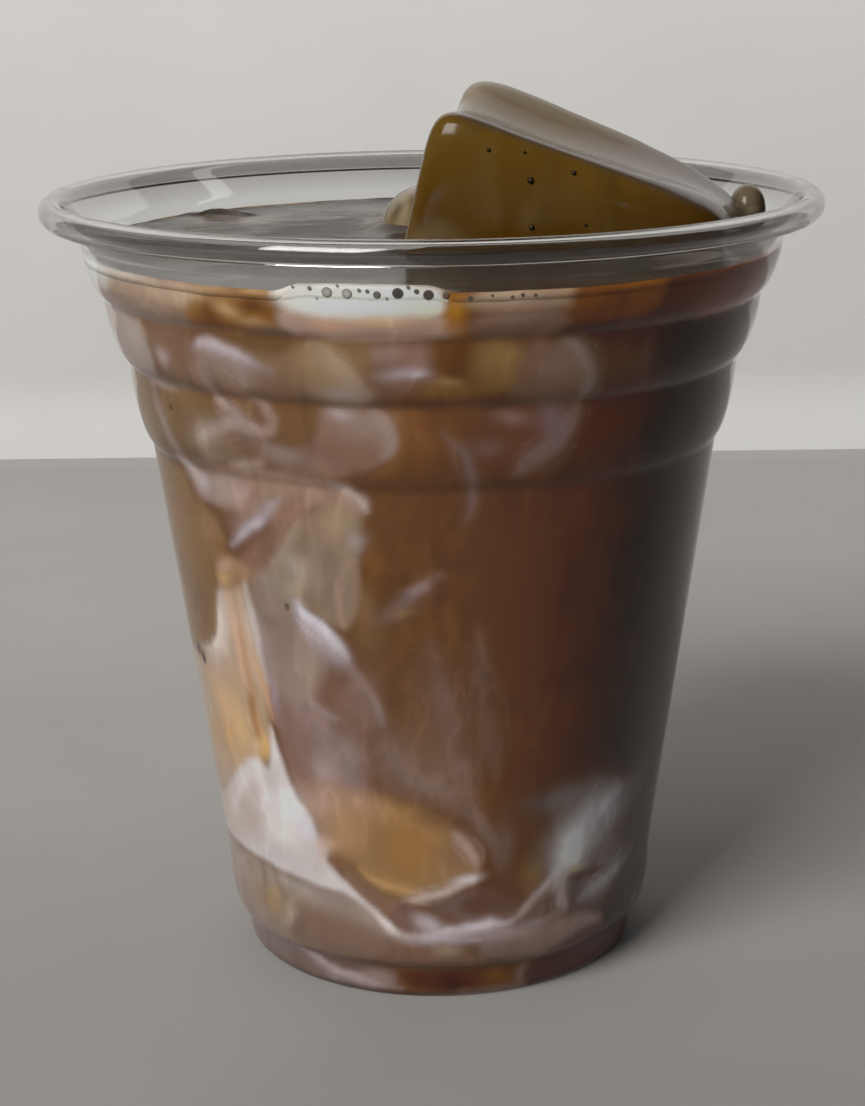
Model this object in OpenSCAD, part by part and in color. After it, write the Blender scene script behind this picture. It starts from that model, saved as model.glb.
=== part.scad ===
// Iced milk coffee in a clear tapered disposable cup.
// The cup is one thin wall from the floor, through the foot, the body and
// three bulged tiers, to the rolled rim. Drink fills it to below the neck,
// and three pieces of ice stand out of the drink.

/* [Cup] */
// Height from the table to the top of the rolled rim, mm
cup_h = 99; // [94:0.5:125]
// Outside diameter at the top of the highest tier, mm
mouth_d = 88; // [84:0.5:110]
// Wall thickness, mm
wall = 0.6; // [0.4:0.05:0.8]
// Roundness of the tiers, 1 is straight and 2 is a quarter ellipse
belly = 1.55; // [1.2:0.05:2.2]

/* [Rim] */
// Outside radius of the rolled rim's section, mm
roll_r = 1.65; // [1.4:0.05:2.2]
// How far the neck leans out between the top tier and the roll, mm
neck_out = 2.3; // [0.5:0.1:4]
// Height of the neck between the top tier and the roll's middle, mm
neck_h = 3.6; // [2:0.1:6]
// How far round the roll goes past its outermost point, degrees
roll_under = 62; // [0:1:80]

/* [Tiers] */
// Height of the top tier, mm
tier_a_h = 6.8; // [4:0.1:9]
// How far the top tier's ledge steps in, mm
tier_a_in = 2.6; // [1:0.1:3.5]
// Height of the middle tier, mm
tier_b_h = 8.2; // [5:0.1:10]
// How far the middle tier's ledge steps in, mm
tier_b_in = 2.85; // [1:0.05:3.5]
// Height of the bottom tier, mm
tier_c_h = 10.3; // [6:0.1:12.5]
// How far the bottom tier's ledge steps in, mm
tier_c_in = 2.5; // [1:0.1:3]

/* [Foot] */
// Outside diameter of the rounded heel under the straight body, mm
heel_d = 56.2; // [53:0.2:68]
// Height of the heel above the foot ring, mm
heel_h = 8; // [5:0.2:10]
// Roundness of the heel, 2 is a quarter ellipse
heel_belly = 2.3; // [1.5:0.1:3]
// Outside diameter of the foot ring at its top, mm
foot_d = 52; // [43:0.2:52.4]
// Height of the foot ring, mm
foot_h = 4.6; // [3.6:0.1:6]
// How far the foot ring leans in towards the table, mm
foot_lean = 0.5; // [0:0.1:1]
// Width of the ring the cup stands on, mm
stand_w = 2.2; // [1.9:0.1:3]
// Lift of the floor's underside above the table, mm
floor_lift = 1.6; // [1:0.1:2.4]

/* [Drink] */
// Drop from the top of the rim to the drink, mm
level_drop = 6.7; // [6.4:0.1:14]
// Clearance between the drink and the cup's wall and floor, mm
drink_gap = 0.2; // [0.1:0.05:0.4]
// Clearance between the drink and the ice that stands in it, mm
ice_gap = 0.1; // [0.05:0.05:0.3]

/* [Large ice] */
// Length of the large piece, mm
block_l = 37.6; // [24:0.2:45.2]
// Depth of the large piece, front to back, mm
block_t = 21; // [14:0.5:25.5]
// Height of the large piece, mm
block_h = 30; // [20:0.5:36]
// Height of the middle of its top above the drink, mm
block_up = 14.2; // [6:0.1:17.2]
// Distance from the drink's right edge to the large piece's sharp corner, mm
block_clear = 2; // [1:0.1:8]
// Place of its middle behind the cup's axis, mm
block_y = -7; // [-8:0.5:-5]
// Lean of the whole piece down to its right, degrees
block_lean = 13; // [0:1:18]
// Turn of the piece about the vertical, degrees
block_turn = -5; // [-10:1:5]
// How far its back is shifted to the right of its front, mm
block_skew = 4.2; // [0:0.1:5.2]
// Extra slope of its top down to its right, degrees
block_slope = 4; // [0:1:8]
// Depth of the hollow melted along its top, mm
block_dish = 3.6; // [0:0.1:6]
// Rise of the back edge over the front one at the left, mm
block_rise = 3.4; // [0:0.1:5]
// How far the back edge falls away to the right, mm
block_droop = 5; // [0:0.1:7]
// How far the right end is melted down, mm
block_melt = 1.5; // [0:0.1:3]

/* [Small ice] */
// Size of the left piece across, mm
left_w = 19; // [12:0.5:23]
// Height of the left piece's top above the drink, mm
left_up = 5.4; // [3:0.1:7]
// How far the left piece's middle lies behind the large one's left end, mm
left_in = 2; // [-4:0.1:6]
// Clear distance between the left piece and the large one, mm
left_clear = 0.8; // [0.4:0.1:4]
// Size of the right piece across, mm
right_w = 4.6; // [3:0.1:5.6]
// Height of the right piece's top above the drink, mm
right_up = 6; // [4:0.1:7.4]
// Clear distance between the right piece and the wall, mm
right_clear = 0.8; // [0.4:0.1:2]
// Clear distance between the right piece and the large one's back, mm
right_off = 0.8; // [0.4:0.1:4]

/* [Hidden] */
$fn = 96;

CUP_TINT = [0.86, 0.88, 0.89, 0.4];
DRINK_TINT = [0.44, 0.31, 0.23];
ICE_TINT = [0.62, 0.58, 0.45];

ARC_STEPS = 8;
ROLL_STEPS = 14;
STAND_SLOPE = 0.4; // how far the standing ring's inner leg leans in for its height
NECK_BEND = 0.35; // height of the small bend where the neck leaves the top tier

// Heights of the cup's lines above the table
roll_z = cup_h - roll_r;
tier_a_top = roll_z - neck_h;
tier_b_top = tier_a_top - tier_a_h;
tier_c_top = tier_b_top - tier_b_h;
body_top = tier_c_top - tier_c_h;
heel_top = foot_h + heel_h;
level = cup_h - level_drop;

// Radii of the cup's lines, outside
mouth_r = mouth_d / 2;
tier_b_r = mouth_r - tier_a_in;
tier_c_r = tier_b_r - tier_b_in;
body_r = tier_c_r - tier_c_in;
heel_r = heel_d / 2;
foot_r = foot_d / 2;
stand_r = foot_r - foot_lean;
stand_in_r = stand_r - stand_w;
stand_bevel = wall + drink_gap; // wide enough for the wall and the drink to follow it

// Section of a bulged tier from its ledge up: a superellipse quarter
function bulge(r0, r1, z0, z1, round) = [
    for (i = [0 : ARC_STEPS])
        let (a = 90 * i / ARC_STEPS)
        [r0 + (r1 - r0) * pow(sin(a), 2 / round),
         z0 + (z1 - z0) * (1 - pow(cos(a), 2 / round))]
];

// Underside of the rolled rim, from the neck over the top to the free lip
roll_in = roll_r - wall;
roll_x = mouth_r + neck_out + roll_in;
function roll() = [
    for (i = [0 : ROLL_STEPS])
        let (a = 180 - (180 + roll_under) * i / ROLL_STEPS)
        [roll_x + roll_in * cos(a), roll_z + roll_in * sin(a)]
];

// Outside of the cup, from the middle of its underside to the rim's lip
outer = concat(
    [[0, floor_lift],
     [stand_in_r - STAND_SLOPE * floor_lift, floor_lift],
     [stand_in_r, 0],
     [stand_r - stand_bevel, 0],
     [stand_r, stand_bevel]],
    bulge(foot_r, heel_r, foot_h, heel_top, heel_belly),
    bulge(body_r, tier_c_r, body_top, tier_c_top, belly),
    bulge(tier_c_r, tier_b_r, tier_c_top, tier_b_top, belly),
    bulge(tier_b_r, mouth_r, tier_b_top, tier_a_top, belly),
    [[mouth_r + NECK_BEND, tier_a_top + NECK_BEND]],
    roll()
);

// Left-hand normal of the line from p to q
function side(p, q) = [p[1] - q[1], q[0] - p[0]] / norm(q - p);

// The path moved sideways by d with mitred corners
function moved(path, d) = [
    for (i = [0 : len(path) - 1])
        let (a = i > 0 ? side(path[i - 1], path[i]) : side(path[0], path[1]),
             b = i < len(path) - 1 ? side(path[i], path[i + 1]) : a)
        path[i] + d * (a + b) / (1 + a * b)
];

// The path without a point that repeats the one before it
SAME_POINT = 0.01;
function tidy(path) = [
    for (i = [0 : len(path) - 1])
        if (i == 0 || norm(path[i] - path[i - 1]) > SAME_POINT) path[i]
];

// The path from its last point back to its first
function back(path) = [for (i = [len(path) - 1 : -1 : 0]) path[i]];

outline = tidy(outer);
inside = moved(outline, wall);

// Inside radius at a height above the floor
WALL_FROM = 5; // the outline's first point on the standing wall
function inside_r(z) = lookup(z, [
    for (i = [WALL_FROM : len(inside) - ROLL_STEPS - 2]) [inside[i][1], inside[i][0]]
]);

// Rings of a rounded piece of ice, from its lower pole to its upper one
RINGS = [-89, -82, -72, -60, -48, -36, -24, -12, 0, 12, 24, 36, 48, 60, 72, 82, 89];
function power(v, e) = sign(v) * pow(abs(v), e);

// Height added to the top of a piece at u along and v back, both -1 to 1.
// shape holds slope, dish, rise, droop and melt in that order.
END_OPEN = 0.6; // share of the dish that closes towards the two ends
MELT_POWER = 6; // keeps the melt to the right end
function crown(u, v, shape) =
    let (right = (u + 1) / 2,
         rear = (v + 1) / 2)
    -shape[0] * u
    - shape[1] * (1 - END_OPEN * u * u) * (1 - v * v)
    + rear * (shape[2] - shape[3] * right * right)
    - shape[4] * pow(right, MELT_POWER);

// One point of a piece: a rounded box, with its crown blended in upwards
function ice_point(half, round, skew, ring, a, shape) =
    let (s = power(cos(ring), 2 / round),
         h = power(sin(ring), 2 / round),
         u = s * power(cos(a), 2 / round),
         v = s * power(sin(a), 2 / round),
         blend = pow((h + 1) / 2, 3))
    [half[0] * u + skew * (v + 1) / 2, half[1] * v, half[2] * h + blend * crown(u, v, shape)];

// A closed piece of ice with its middle at the origin
module ice(half, round, skew, shape, count) {
    rows = len(RINGS);
    points = concat(
        [[skew / 2, 0, -half[2]]],
        [for (ring = RINGS) for (k = [0 : count - 1])
            ice_point(half, round, skew, ring, 360 * k / count, shape)],
        [[skew / 2, 0, half[2] + crown(0, 0, shape)]]
    );
    last = len(points) - 1;
    faces = concat(
        [for (k = [0 : count - 1]) [0, 1 + k, 1 + (k + 1) % count]],
        [for (j = [0 : rows - 2]) for (k = [0 : count - 1])
            [1 + j * count + k, 1 + (j + 1) * count + k, 1 + j * count + (k + 1) % count]],
        [for (j = [0 : rows - 2]) for (k = [0 : count - 1])
            [1 + (j + 1) * count + k, 1 + (j + 1) * count + (k + 1) % count,
             1 + j * count + (k + 1) % count]],
        [for (k = [0 : count - 1])
            [last, 1 + (rows - 1) * count + (k + 1) % count, 1 + (rows - 1) * count + k]]
    );
    polyhedron(points, faces);
}

// The large piece, grown by g on each side. Its right end keeps its distance
// from the drink's edge.
BLOCK_ROUND = 8;
BLOCK_POINTS = 40;
block_x = inside_r(level) - block_clear - (block_l / 2 + block_skew) * cos(block_lean);
block_left = block_x - block_l / 2 * cos(block_lean);

// The back of the large piece at a place x to the right of the cup's axis
function block_back(x) =
    block_y + block_t / 2 / cos(block_turn) + (x - block_x) * tan(block_turn);

module large_shape(g) {
    half = [block_l / 2 + g, block_t / 2 + g, block_h / 2 + g];
    shape = [tan(block_slope) * half[0], block_dish, block_rise, block_droop, block_melt];
    translate([block_x, block_y, level + block_up])
        rotate([0, 0, block_turn])
            rotate([0, block_lean, 0])
                translate([0, 0, -block_h / 2])
                    ice(half, BLOCK_ROUND, block_skew, shape, BLOCK_POINTS);
}

// The left piece stands behind the large one, a clear distance from its back
LEFT_ROUND = 2.5;
LEFT_POINTS = 28;
LEFT_TIP = [0.6, 0, 0, 0, 0]; // its crown: a little lower to the right
LEFT_FORM = [0.5, 0.45, 0.42]; // half sizes for a width of 1
left_half = left_w * LEFT_FORM;
left_x = block_left + left_in;
left_y = block_back(left_x) + left_clear + left_half[1];
module left_shape(g) {
    translate([left_x, left_y, level + left_up - left_half[2]])
        ice(left_half + [g, g, g], LEFT_ROUND, 0, LEFT_TIP, LEFT_POINTS);
}

// The right piece stands against the wall, behind the large one's right end
RIGHT_ROUND = 2.2;
RIGHT_POINTS = 24;
RIGHT_TIP = [0, 0, 0, 0, 0];
RIGHT_FORM = [0.5, 0.6, 0.72]; // half sizes for a width of 1
right_half = right_w * RIGHT_FORM;
right_z = level + right_up - right_half[2];
right_r = inside_r(right_z) - right_clear - right_half[0];
right_y = block_back(right_r) + right_off + right_half[1];
right_x = sqrt(right_r * right_r - right_y * right_y);
module right_shape(g) {
    translate([right_x, right_y, right_z])
        ice(right_half + [g, g, g], RIGHT_ROUND, 0, RIGHT_TIP, RIGHT_POINTS);
}

module cup() {
    color(CUP_TINT)
        rotate_extrude()
            polygon(concat(outline, back(inside)));
}

module drink() {
    edge = moved(outline, wall + drink_gap);
    below = [for (p = edge) if (p[1] < level && p[0] < mouth_r) p];
    color(DRINK_TINT)
        difference() {
            rotate_extrude()
                polygon(concat(below, [[inside_r(level) - drink_gap, level], [0, level]]));
            large_shape(ice_gap);
            left_shape(ice_gap);
            right_shape(ice_gap);
        }
}

module ice_large() {
    color(ICE_TINT) large_shape(0);
}

module ice_left() {
    color(ICE_TINT) left_shape(0);
}

module ice_right() {
    color(ICE_TINT) right_shape(0);
}

cup();
drink();
ice_large();
ice_left();
ice_right();
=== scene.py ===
# Iced milk coffee in a clear tapered cup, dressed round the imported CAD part.
# Lengths in the dictionaries are in millimetres, and meshes are turned to metres as they are made.
# Angles round the cup are in degrees: 0 is the front (-Y), plus is towards +X.
import math
import bpy
import numpy as np
from mathutils import Matrix, Vector


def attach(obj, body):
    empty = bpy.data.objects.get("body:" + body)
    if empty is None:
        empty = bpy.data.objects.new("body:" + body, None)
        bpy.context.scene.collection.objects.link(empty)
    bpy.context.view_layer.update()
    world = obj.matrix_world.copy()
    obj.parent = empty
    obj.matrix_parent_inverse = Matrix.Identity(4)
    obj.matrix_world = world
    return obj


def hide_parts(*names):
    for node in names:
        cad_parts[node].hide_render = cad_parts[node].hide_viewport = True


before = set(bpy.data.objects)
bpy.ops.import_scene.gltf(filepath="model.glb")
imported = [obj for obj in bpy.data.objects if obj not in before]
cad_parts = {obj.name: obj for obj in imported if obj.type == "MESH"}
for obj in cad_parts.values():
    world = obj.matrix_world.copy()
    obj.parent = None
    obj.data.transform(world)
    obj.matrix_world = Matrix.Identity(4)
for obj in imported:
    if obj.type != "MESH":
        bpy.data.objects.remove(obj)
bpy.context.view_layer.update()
mm = 0.001
print("frame loaded:", sorted(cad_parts))


# Small helpers.

def linear(code):
    # sRGB hex to linear light: below 0.04045 divided by 12.92, above it ((c + 0.055) / 1.055) ^ 2.4
    c = np.array([int(code[k:k + 2], 16) for k in (1, 3, 5)]) / 255
    return np.where(c <= 0.04045, c / 12.92, ((c + 0.055) / 1.055) ** 2.4)


def rgba(code):
    return (*linear(code), 1.0)


def ease(low, high, x):
    # 0 below low and 1 above high, with 3t^2 - 2t^3 between
    t = np.clip((x - low) / (high - low), 0, 1)
    return t * t * (3 - 2 * t)


def waver(points, scale, seed):
    # value noise from -1 to 1: a random value at each corner of a lattice of this size,
    # blended by 6t^5 - 15t^4 + 10t^3
    q = np.asarray(points, float) / scale + 1000
    cell = np.floor(q).astype(np.int64)
    t = q - cell
    t = t ** 3 * (t * (6 * t - 15) + 10)
    total = np.zeros(len(q))
    for k in range(8):
        step = np.array([k & 1, k >> 1 & 1, k >> 2])
        c = cell + step
        h = (c[:, 0] * 73856093) ^ (c[:, 1] * 19349663) ^ (c[:, 2] * 83492791) ^ (seed * 26544357)
        h = ((h ^ (h >> 13)) * 1274126177) & 0xFFFFFFFF
        value = ((h ^ (h >> 15)) & 0xFFFF) / 32767.5 - 1
        total += value * np.prod(np.where(step, t, 1 - t), axis=1)
    return total


def ripple(points, scale, seed, layers=3):
    # waver summed over layers, each half as large and half as strong as the one before
    return sum(waver(points, scale / 2 ** k, seed + k) / 2 ** k for k in range(layers)) / 1.75


def resample(path, step=None, count=None):
    # points at even spacing along a path
    path = np.asarray(path, float)
    along = np.r_[0, np.cumsum(np.linalg.norm(np.diff(path, axis=0), axis=1))]
    count = count or max(2, int(round(along[-1] / step)) + 1)
    at = np.linspace(0, along[-1], count)
    return np.stack([np.interp(at, along, path[:, k]) for k in range(path.shape[1])], 1)


def soften(path, times):
    # each inner point moves to a quarter, half, quarter mean with its neighbours
    path = path.copy()
    for _ in range(times):
        path[1:-1] = path[:-2] / 4 + path[1:-1] / 2 + path[2:] / 4
    return path


def shifted(path, distance):
    # the path moved to its left by a distance, leaving out points that come closer to it than that
    run = np.gradient(path, axis=0)
    run /= np.linalg.norm(run, axis=1)[:, None]
    moved = path + distance * np.stack([-run[:, 1], run[:, 0]], 1)
    gap = np.linalg.norm(moved[:, None] - path[None], axis=2).min(1)
    keep = (gap > 0.97 * abs(distance)) & (moved[:, 0] > -1e-6)
    keep[[0, -1]] = True
    return moved[keep]


def thinned(path, count):
    # fewer points along a path, evenly spaced by half its length in mm plus a sixth of its turning in degrees
    run = np.diff(path, axis=0)
    heading = np.degrees(np.unwrap(np.arctan2(run[:, 1], run[:, 0])))
    share = np.linalg.norm(run, axis=1) / 2
    share[1:] += np.abs(np.diff(heading)) / 6
    along = np.r_[0, np.cumsum(share)]
    at = np.linspace(0, along[-1], count)
    return np.stack([np.interp(at, along, path[:, k]) for k in (0, 1)], 1)


def turned(path, angles):
    # each point (r, z) of the path at each angle: x = r sin a, y = -r cos a
    a = np.radians(angles)[None]
    r, z = path[:, :1], path[:, 1:2]
    return np.stack([r * np.sin(a), -r * np.cos(a), z + 0 * a], -1)


def ringFaces(rows, columns, first):
    # quads between closed rings, then a fan of triangles to a pole at each end, points numbered from first
    r, c = np.meshgrid(np.arange(rows - 1), np.arange(columns), indexing="ij")
    n = (c + 1) % columns
    low, high = r * columns, (r + 1) * columns
    quads = np.stack([low + c, low + n, high + n, high + c], -1).reshape(-1, 4)
    ring, size, last = np.arange(columns), rows * columns, (rows - 1) * columns
    after = (ring + 1) % columns
    startFan = np.stack([np.full(columns, size), after, ring], 1)
    endFan = np.stack([last + ring, last + after, np.full(columns, size + 1)], 1)
    return quads + first, np.concatenate([startFan, endFan]) + first


def makePiece(name, grid, startPole, endPole, paint=None):
    # one closed shell: rows of points, each row a ring, and a pole at each end
    quads, fans = ringFaces(*grid.shape[:2], 0)
    return meshObject(name, np.concatenate([grid.reshape(-1, 3), [startPole, endPole]]), quads, fans, paint)


def meshObject(name, points, quads, triangles, paint=None):
    mesh = bpy.data.meshes.new(name)
    mesh.vertices.add(len(points))
    mesh.vertices.foreach_set("co", (points * mm).astype(np.float32).ravel())
    corners = np.concatenate([quads.ravel(), triangles.ravel()])
    mesh.loops.add(len(corners))
    mesh.loops.foreach_set("vertex_index", corners.astype(np.int32))
    starts = np.concatenate([np.arange(len(quads)) * 4, quads.size + np.arange(len(triangles)) * 3])
    mesh.polygons.add(len(starts))
    mesh.polygons.foreach_set("loop_start", starts.astype(np.int32))
    mesh.polygons.foreach_set("use_smooth", np.ones(len(starts), bool))
    for label, values in (paint or {}).items():
        values = np.asarray(values, float)
        if values.ndim == 2:
            layer = mesh.attributes.new(label, "FLOAT_COLOR", "POINT")
            layer.data.foreach_set("color", np.c_[values, np.ones(len(values))].astype(np.float32).ravel())
        else:
            layer = mesh.attributes.new(label, "FLOAT", "POINT")
            layer.data.foreach_set("value", values.astype(np.float32))
    mesh.update(calc_edges=True)
    mesh.validate()
    piece = bpy.data.objects.new(name, mesh)
    bpy.context.scene.collection.objects.link(piece)
    return piece


def addNode(tree, kind, settings=(), links=()):
    # one node: a setting goes to the input of that name or number, or else to the node's own property
    node = tree.nodes.new(kind)
    for key, value in dict(settings).items():
        if key == "stops":
            ramp = node.color_ramp
            while len(ramp.elements) < len(value):
                ramp.elements.new(0.5)
            for element, (place, colour) in zip(ramp.elements, value):
                element.position, element.color = place, colour
        elif isinstance(key, str) and hasattr(node, key):
            setattr(node, key, value)
        else:
            node.inputs[key].default_value = value
    for key, socket in dict(links).items():
        tree.links.new(socket, node.inputs[key])
    return node


def newMaterial(name):
    material = bpy.data.materials.new(name)
    material.use_nodes = True
    material.node_tree.nodes.clear()
    tree = material.node_tree
    return material, tree, addNode(tree, "ShaderNodeOutputMaterial")


def seat(piece, material, slotName, *nodes):
    piece.data.materials.append(material)
    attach(piece, "root")
    if nodes:
        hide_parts(*nodes)
    return piece


# Camera, lights and stage.

view = dict(lens=79.2, back=306.8, height=134.48, down=15.143, swing=-0.076, tilt=-0.7155)


def makeCamera(v):
    data = bpy.data.cameras.new("camera")
    data.lens, data.sensor_width, data.sensor_fit = v["lens"], 36, "AUTO"
    data.clip_start, data.clip_end = 0.01, 20
    camera = bpy.data.objects.new("camera", data)
    bpy.context.scene.collection.objects.link(camera)
    down, swing, tilt = (math.radians(v[k]) for k in ("down", "swing", "tilt"))
    ahead = np.array([math.sin(swing) * math.cos(down), math.cos(swing) * math.cos(down), -math.sin(down)])
    right = np.array([math.cos(swing), -math.sin(swing), 0])
    up = np.cross(right, ahead)
    r = math.cos(tilt) * right + math.sin(tilt) * up
    u = -math.sin(tilt) * right + math.cos(tilt) * up
    matrix = np.eye(4)
    matrix[:3, 0], matrix[:3, 1], matrix[:3, 2] = r, u, -ahead
    matrix[:3, 3] = np.array([0, -v["back"], v["height"]]) * mm
    camera.matrix_world = Matrix(matrix.tolist())
    bpy.context.scene.camera = camera


def areaLight(name, size, watts, azimuth, elevation, distance, aim=(0, 0, 0.05)):
    # a rectangular softbox that faces its aim from an angle round the cup and above the floor
    data = bpy.data.lights.new(name, "AREA")
    data.shape, data.size, data.size_y = "RECTANGLE", *size
    data.energy = watts
    a, e = math.radians(azimuth), math.radians(elevation)
    way = Vector((math.sin(a) * math.cos(e), -math.cos(a) * math.cos(e), math.sin(e)))
    lamp = bpy.data.objects.new(name, data)
    lamp.location = Vector(aim) + way * distance
    lamp.rotation_mode = "QUATERNION"
    lamp.rotation_quaternion = way.to_track_quat("Z", "Y")
    bpy.context.scene.collection.objects.link(lamp)
    return lamp


# all in metres, watts and degrees, with the window's softbox as areaLight takes it
lights = dict(
    window=((0.50, 0.55), 10.2, -35, 38, 1.0),
    wallWash=dict(size=(1.0, 0.3), watts=1.65, at=(0.12, 0.07, 0.37), pitch=76),
    world="#E6E8EC", worldStrength=0.025,
)
stage = dict(
    front=-1.2, wallAt=0.29, coveRadius=0.02, wallHeight=0.5, wallHalf=0.34,
    behind=(0.3, 1.6), floorHalf=1.6, mottle=0.06,
    floorTones=("#9C9894", "#A29E9A"), wallTones=("#C0BEBA", "#C4C2BF"),
)


def makeStage():
    scene = bpy.context.scene
    scene.view_settings.view_transform = "Standard"
    scene.view_settings.look = "None"
    world = bpy.data.worlds.new("studio")
    scene.world = world
    world.use_nodes = True
    sky = world.node_tree.nodes["Background"]
    sky.inputs["Color"].default_value = rgba(lights["world"])
    sky.inputs["Strength"].default_value = lights["worldStrength"]
    areaLight("window_light", *lights["window"])
    # the back wall's own light hangs over the cup and faces the wall, so the floor's shadow keeps its depth
    wash = lights["wallWash"]
    data = bpy.data.lights.new("wall_wash", "AREA")
    data.shape, data.size, data.size_y, data.energy = "RECTANGLE", *wash["size"], wash["watts"]
    lamp = bpy.data.objects.new("wall_wash", data)
    lamp.location = wash["at"]
    lamp.rotation_euler = (math.radians(wash["pitch"]), 0, 0)
    scene.collection.objects.link(lamp)
    # the floor runs back to a wall, with a tight cove at its foot, and goes on behind it
    rounding, foot = stage["coveRadius"], stage["wallAt"] - stage["coveRadius"]
    turn = np.linspace(0, math.pi / 2, 9)
    cove = np.stack([foot + rounding * np.sin(turn), rounding - rounding * np.cos(turn)], 1)
    near, far = stage["behind"]
    floor, wide = stage["floorTones"], stage["floorHalf"]
    stageSheet("stage_floor", np.r_[[(stage["front"], 0)], cove[:3]], "matt_honed_floor", floor, wide)
    stageSheet("stage_floor_behind", np.array([(near, 0), (far, 0)]), "matt_honed_floor_behind", floor, wide)
    stageSheet("stage_wall", np.r_[cove[2:], [(stage["wallAt"], stage["wallHeight"])]], "matt_painted_wall",
               stage["wallTones"], stage["wallHalf"], True)


def stageSheet(name, profile, finish, tones, half, oneSided=False):
    # a sheet this far out to each side along a line of (y, z), all in metres
    wide, profile = np.array([-half, half]) / mm, profile / mm
    shape = (len(profile), 2)
    grid = np.stack([np.broadcast_to(wide, shape), np.broadcast_to(profile[:, :1], shape),
                     np.broadcast_to(profile[:, 1:], shape)], -1)
    k = np.arange(len(profile) - 1)
    quads = np.stack([2 * k, 2 * k + 1, 2 * k + 3, 2 * k + 2], 1)
    sheet = meshObject(name, grid.reshape(-1, 3), quads, np.zeros((0, 3), int))
    # matt and plain: a faint mottle keeps it from looking like flat fill
    material, tree, out = newMaterial(finish)
    place = addNode(tree, "ShaderNodeTexCoord")
    mottle = addNode(tree, "ShaderNodeTexNoise", {"Scale": 1 / stage["mottle"], "Detail": 3.0},
                     {"Vector": place.outputs["Object"]})
    tone = addNode(tree, "ShaderNodeValToRGB", {"stops": [(0.3, rgba(tones[0])), (0.7, rgba(tones[1]))]},
                   {"Fac": mottle.outputs["Fac"]})
    body = addNode(tree, "ShaderNodeBsdfPrincipled", {"Roughness": 0.7, "Specular IOR Level": 0.25},
                   {"Base Color": tone.outputs["Color"]})
    surface = body.outputs[0]
    if oneSided:
        # the wall is clear from behind, so a look from the back still finds the cup
        back = addNode(tree, "ShaderNodeNewGeometry")
        clear = addNode(tree, "ShaderNodeBsdfTransparent")
        sides = addNode(tree, "ShaderNodeMixShader", (),
                        {0: back.outputs["Backfacing"], 1: surface, 2: clear.outputs[0]})
        surface = sides.outputs[0]
    tree.links.new(surface, out.inputs["Surface"])
    sheet.data.materials.append(material)


makeCamera(view)
makeStage()
print("camera, lights and stage made")


# The cup.

cup = dict(
    height=99, mouth=44, wall=0.6, belly=1.55,
    rollRadius=1.65, neckOut=2.3, neckHeight=3.6, rollUnder=62,
    tiers=((10.3, 2.5), (8.2, 2.85), (6.8, 2.6)),  # height and step of each, from the lowest up
    heel=28.1, heelHeight=8, heelBelly=2.3,
    foot=26, footHeight=4.6, footLean=0.5, standWidth=2.2, floorLift=1.6, standLean=0.4, standBevel=0.8,
    columns=300, rows=160, step=0.3, easing=3,
)
cup["rollZ"] = cup["height"] - cup["rollRadius"]
cup["mouthZ"] = cup["rollZ"] - cup["neckHeight"]
drinkLevel = 92.3


def bulge(r0, r1, z0, z1, roundness, count=24):
    # a quarter superellipse: out by sin(a) ^ (2 / roundness) while it climbs by 1 - cos(a) ^ (2 / roundness)
    a = np.radians(np.linspace(0, 90, count + 1))
    out, climb = np.sin(a) ** (2 / roundness), 1 - np.cos(a) ** (2 / roundness)
    return np.stack([r0 + (r1 - r0) * out, z0 + (z1 - z0) * climb], 1)


def cupOutside(c):
    # the outer line: from the middle of the underside, out over the foot, up the tiers, round the rim
    stand = c["foot"] - c["footLean"]
    inner = stand - c["standWidth"]
    lift, bevel = c["floorLift"], c["standBevel"]
    under = [(0, lift), (inner - c["standLean"] * lift, lift), (inner, 0), (stand - bevel, 0), (stand, bevel)]
    heelTop = c["footHeight"] + c["heelHeight"]
    parts = [np.array(under), bulge(c["foot"], c["heel"], c["footHeight"], heelTop, c["heelBelly"])]
    r = c["mouth"] - sum(t[1] for t in c["tiers"])
    z = c["mouthZ"] - sum(t[0] for t in c["tiers"])
    for tall, step in c["tiers"]:
        parts.append(bulge(r, r + step, z, z + tall, c["belly"]))
        r, z = r + step, z + tall
    parts.append(np.array([(r + 0.35, z + 0.35)]))
    within = c["rollRadius"] - c["wall"]
    a = np.radians(np.linspace(180, -c["rollUnder"], 40))
    across = r + c["neckOut"] + within
    parts.append(np.stack([across + within * np.cos(a), c["rollZ"] + within * np.sin(a)], 1))
    return soften(resample(np.concatenate(parts), c["step"]), c["easing"])


outerLine = cupOutside(cup)
innerLine = shifted(outerLine, cup["wall"])
cupAngles = np.arange(cup["columns"]) * 360 / cup["columns"]
loop = np.concatenate([thinned(outerLine, cup["rows"])[1:], thinned(innerLine, cup["rows"])[::-1][:-1]])
underside, inside = ((0, 0, line[0, 1]) for line in (outerLine, innerLine))
cupPiece = makePiece("cup_clear_wall", turned(loop, cupAngles), underside, inside)
print("cup:", len(loop), "rows, rim out to", round(loop[:, 0].max(), 2), "mm")


def wallRadius(z, into=0.0):
    # inside radius of the wall at a height, or that far into the wall
    start = np.argmax(innerLine[:, 1] > 6)
    end = np.argmax(innerLine[:, 1] > cup["rollZ"])
    return np.interp(z, innerLine[start:end, 1], innerLine[start:end, 0]) + into


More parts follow.
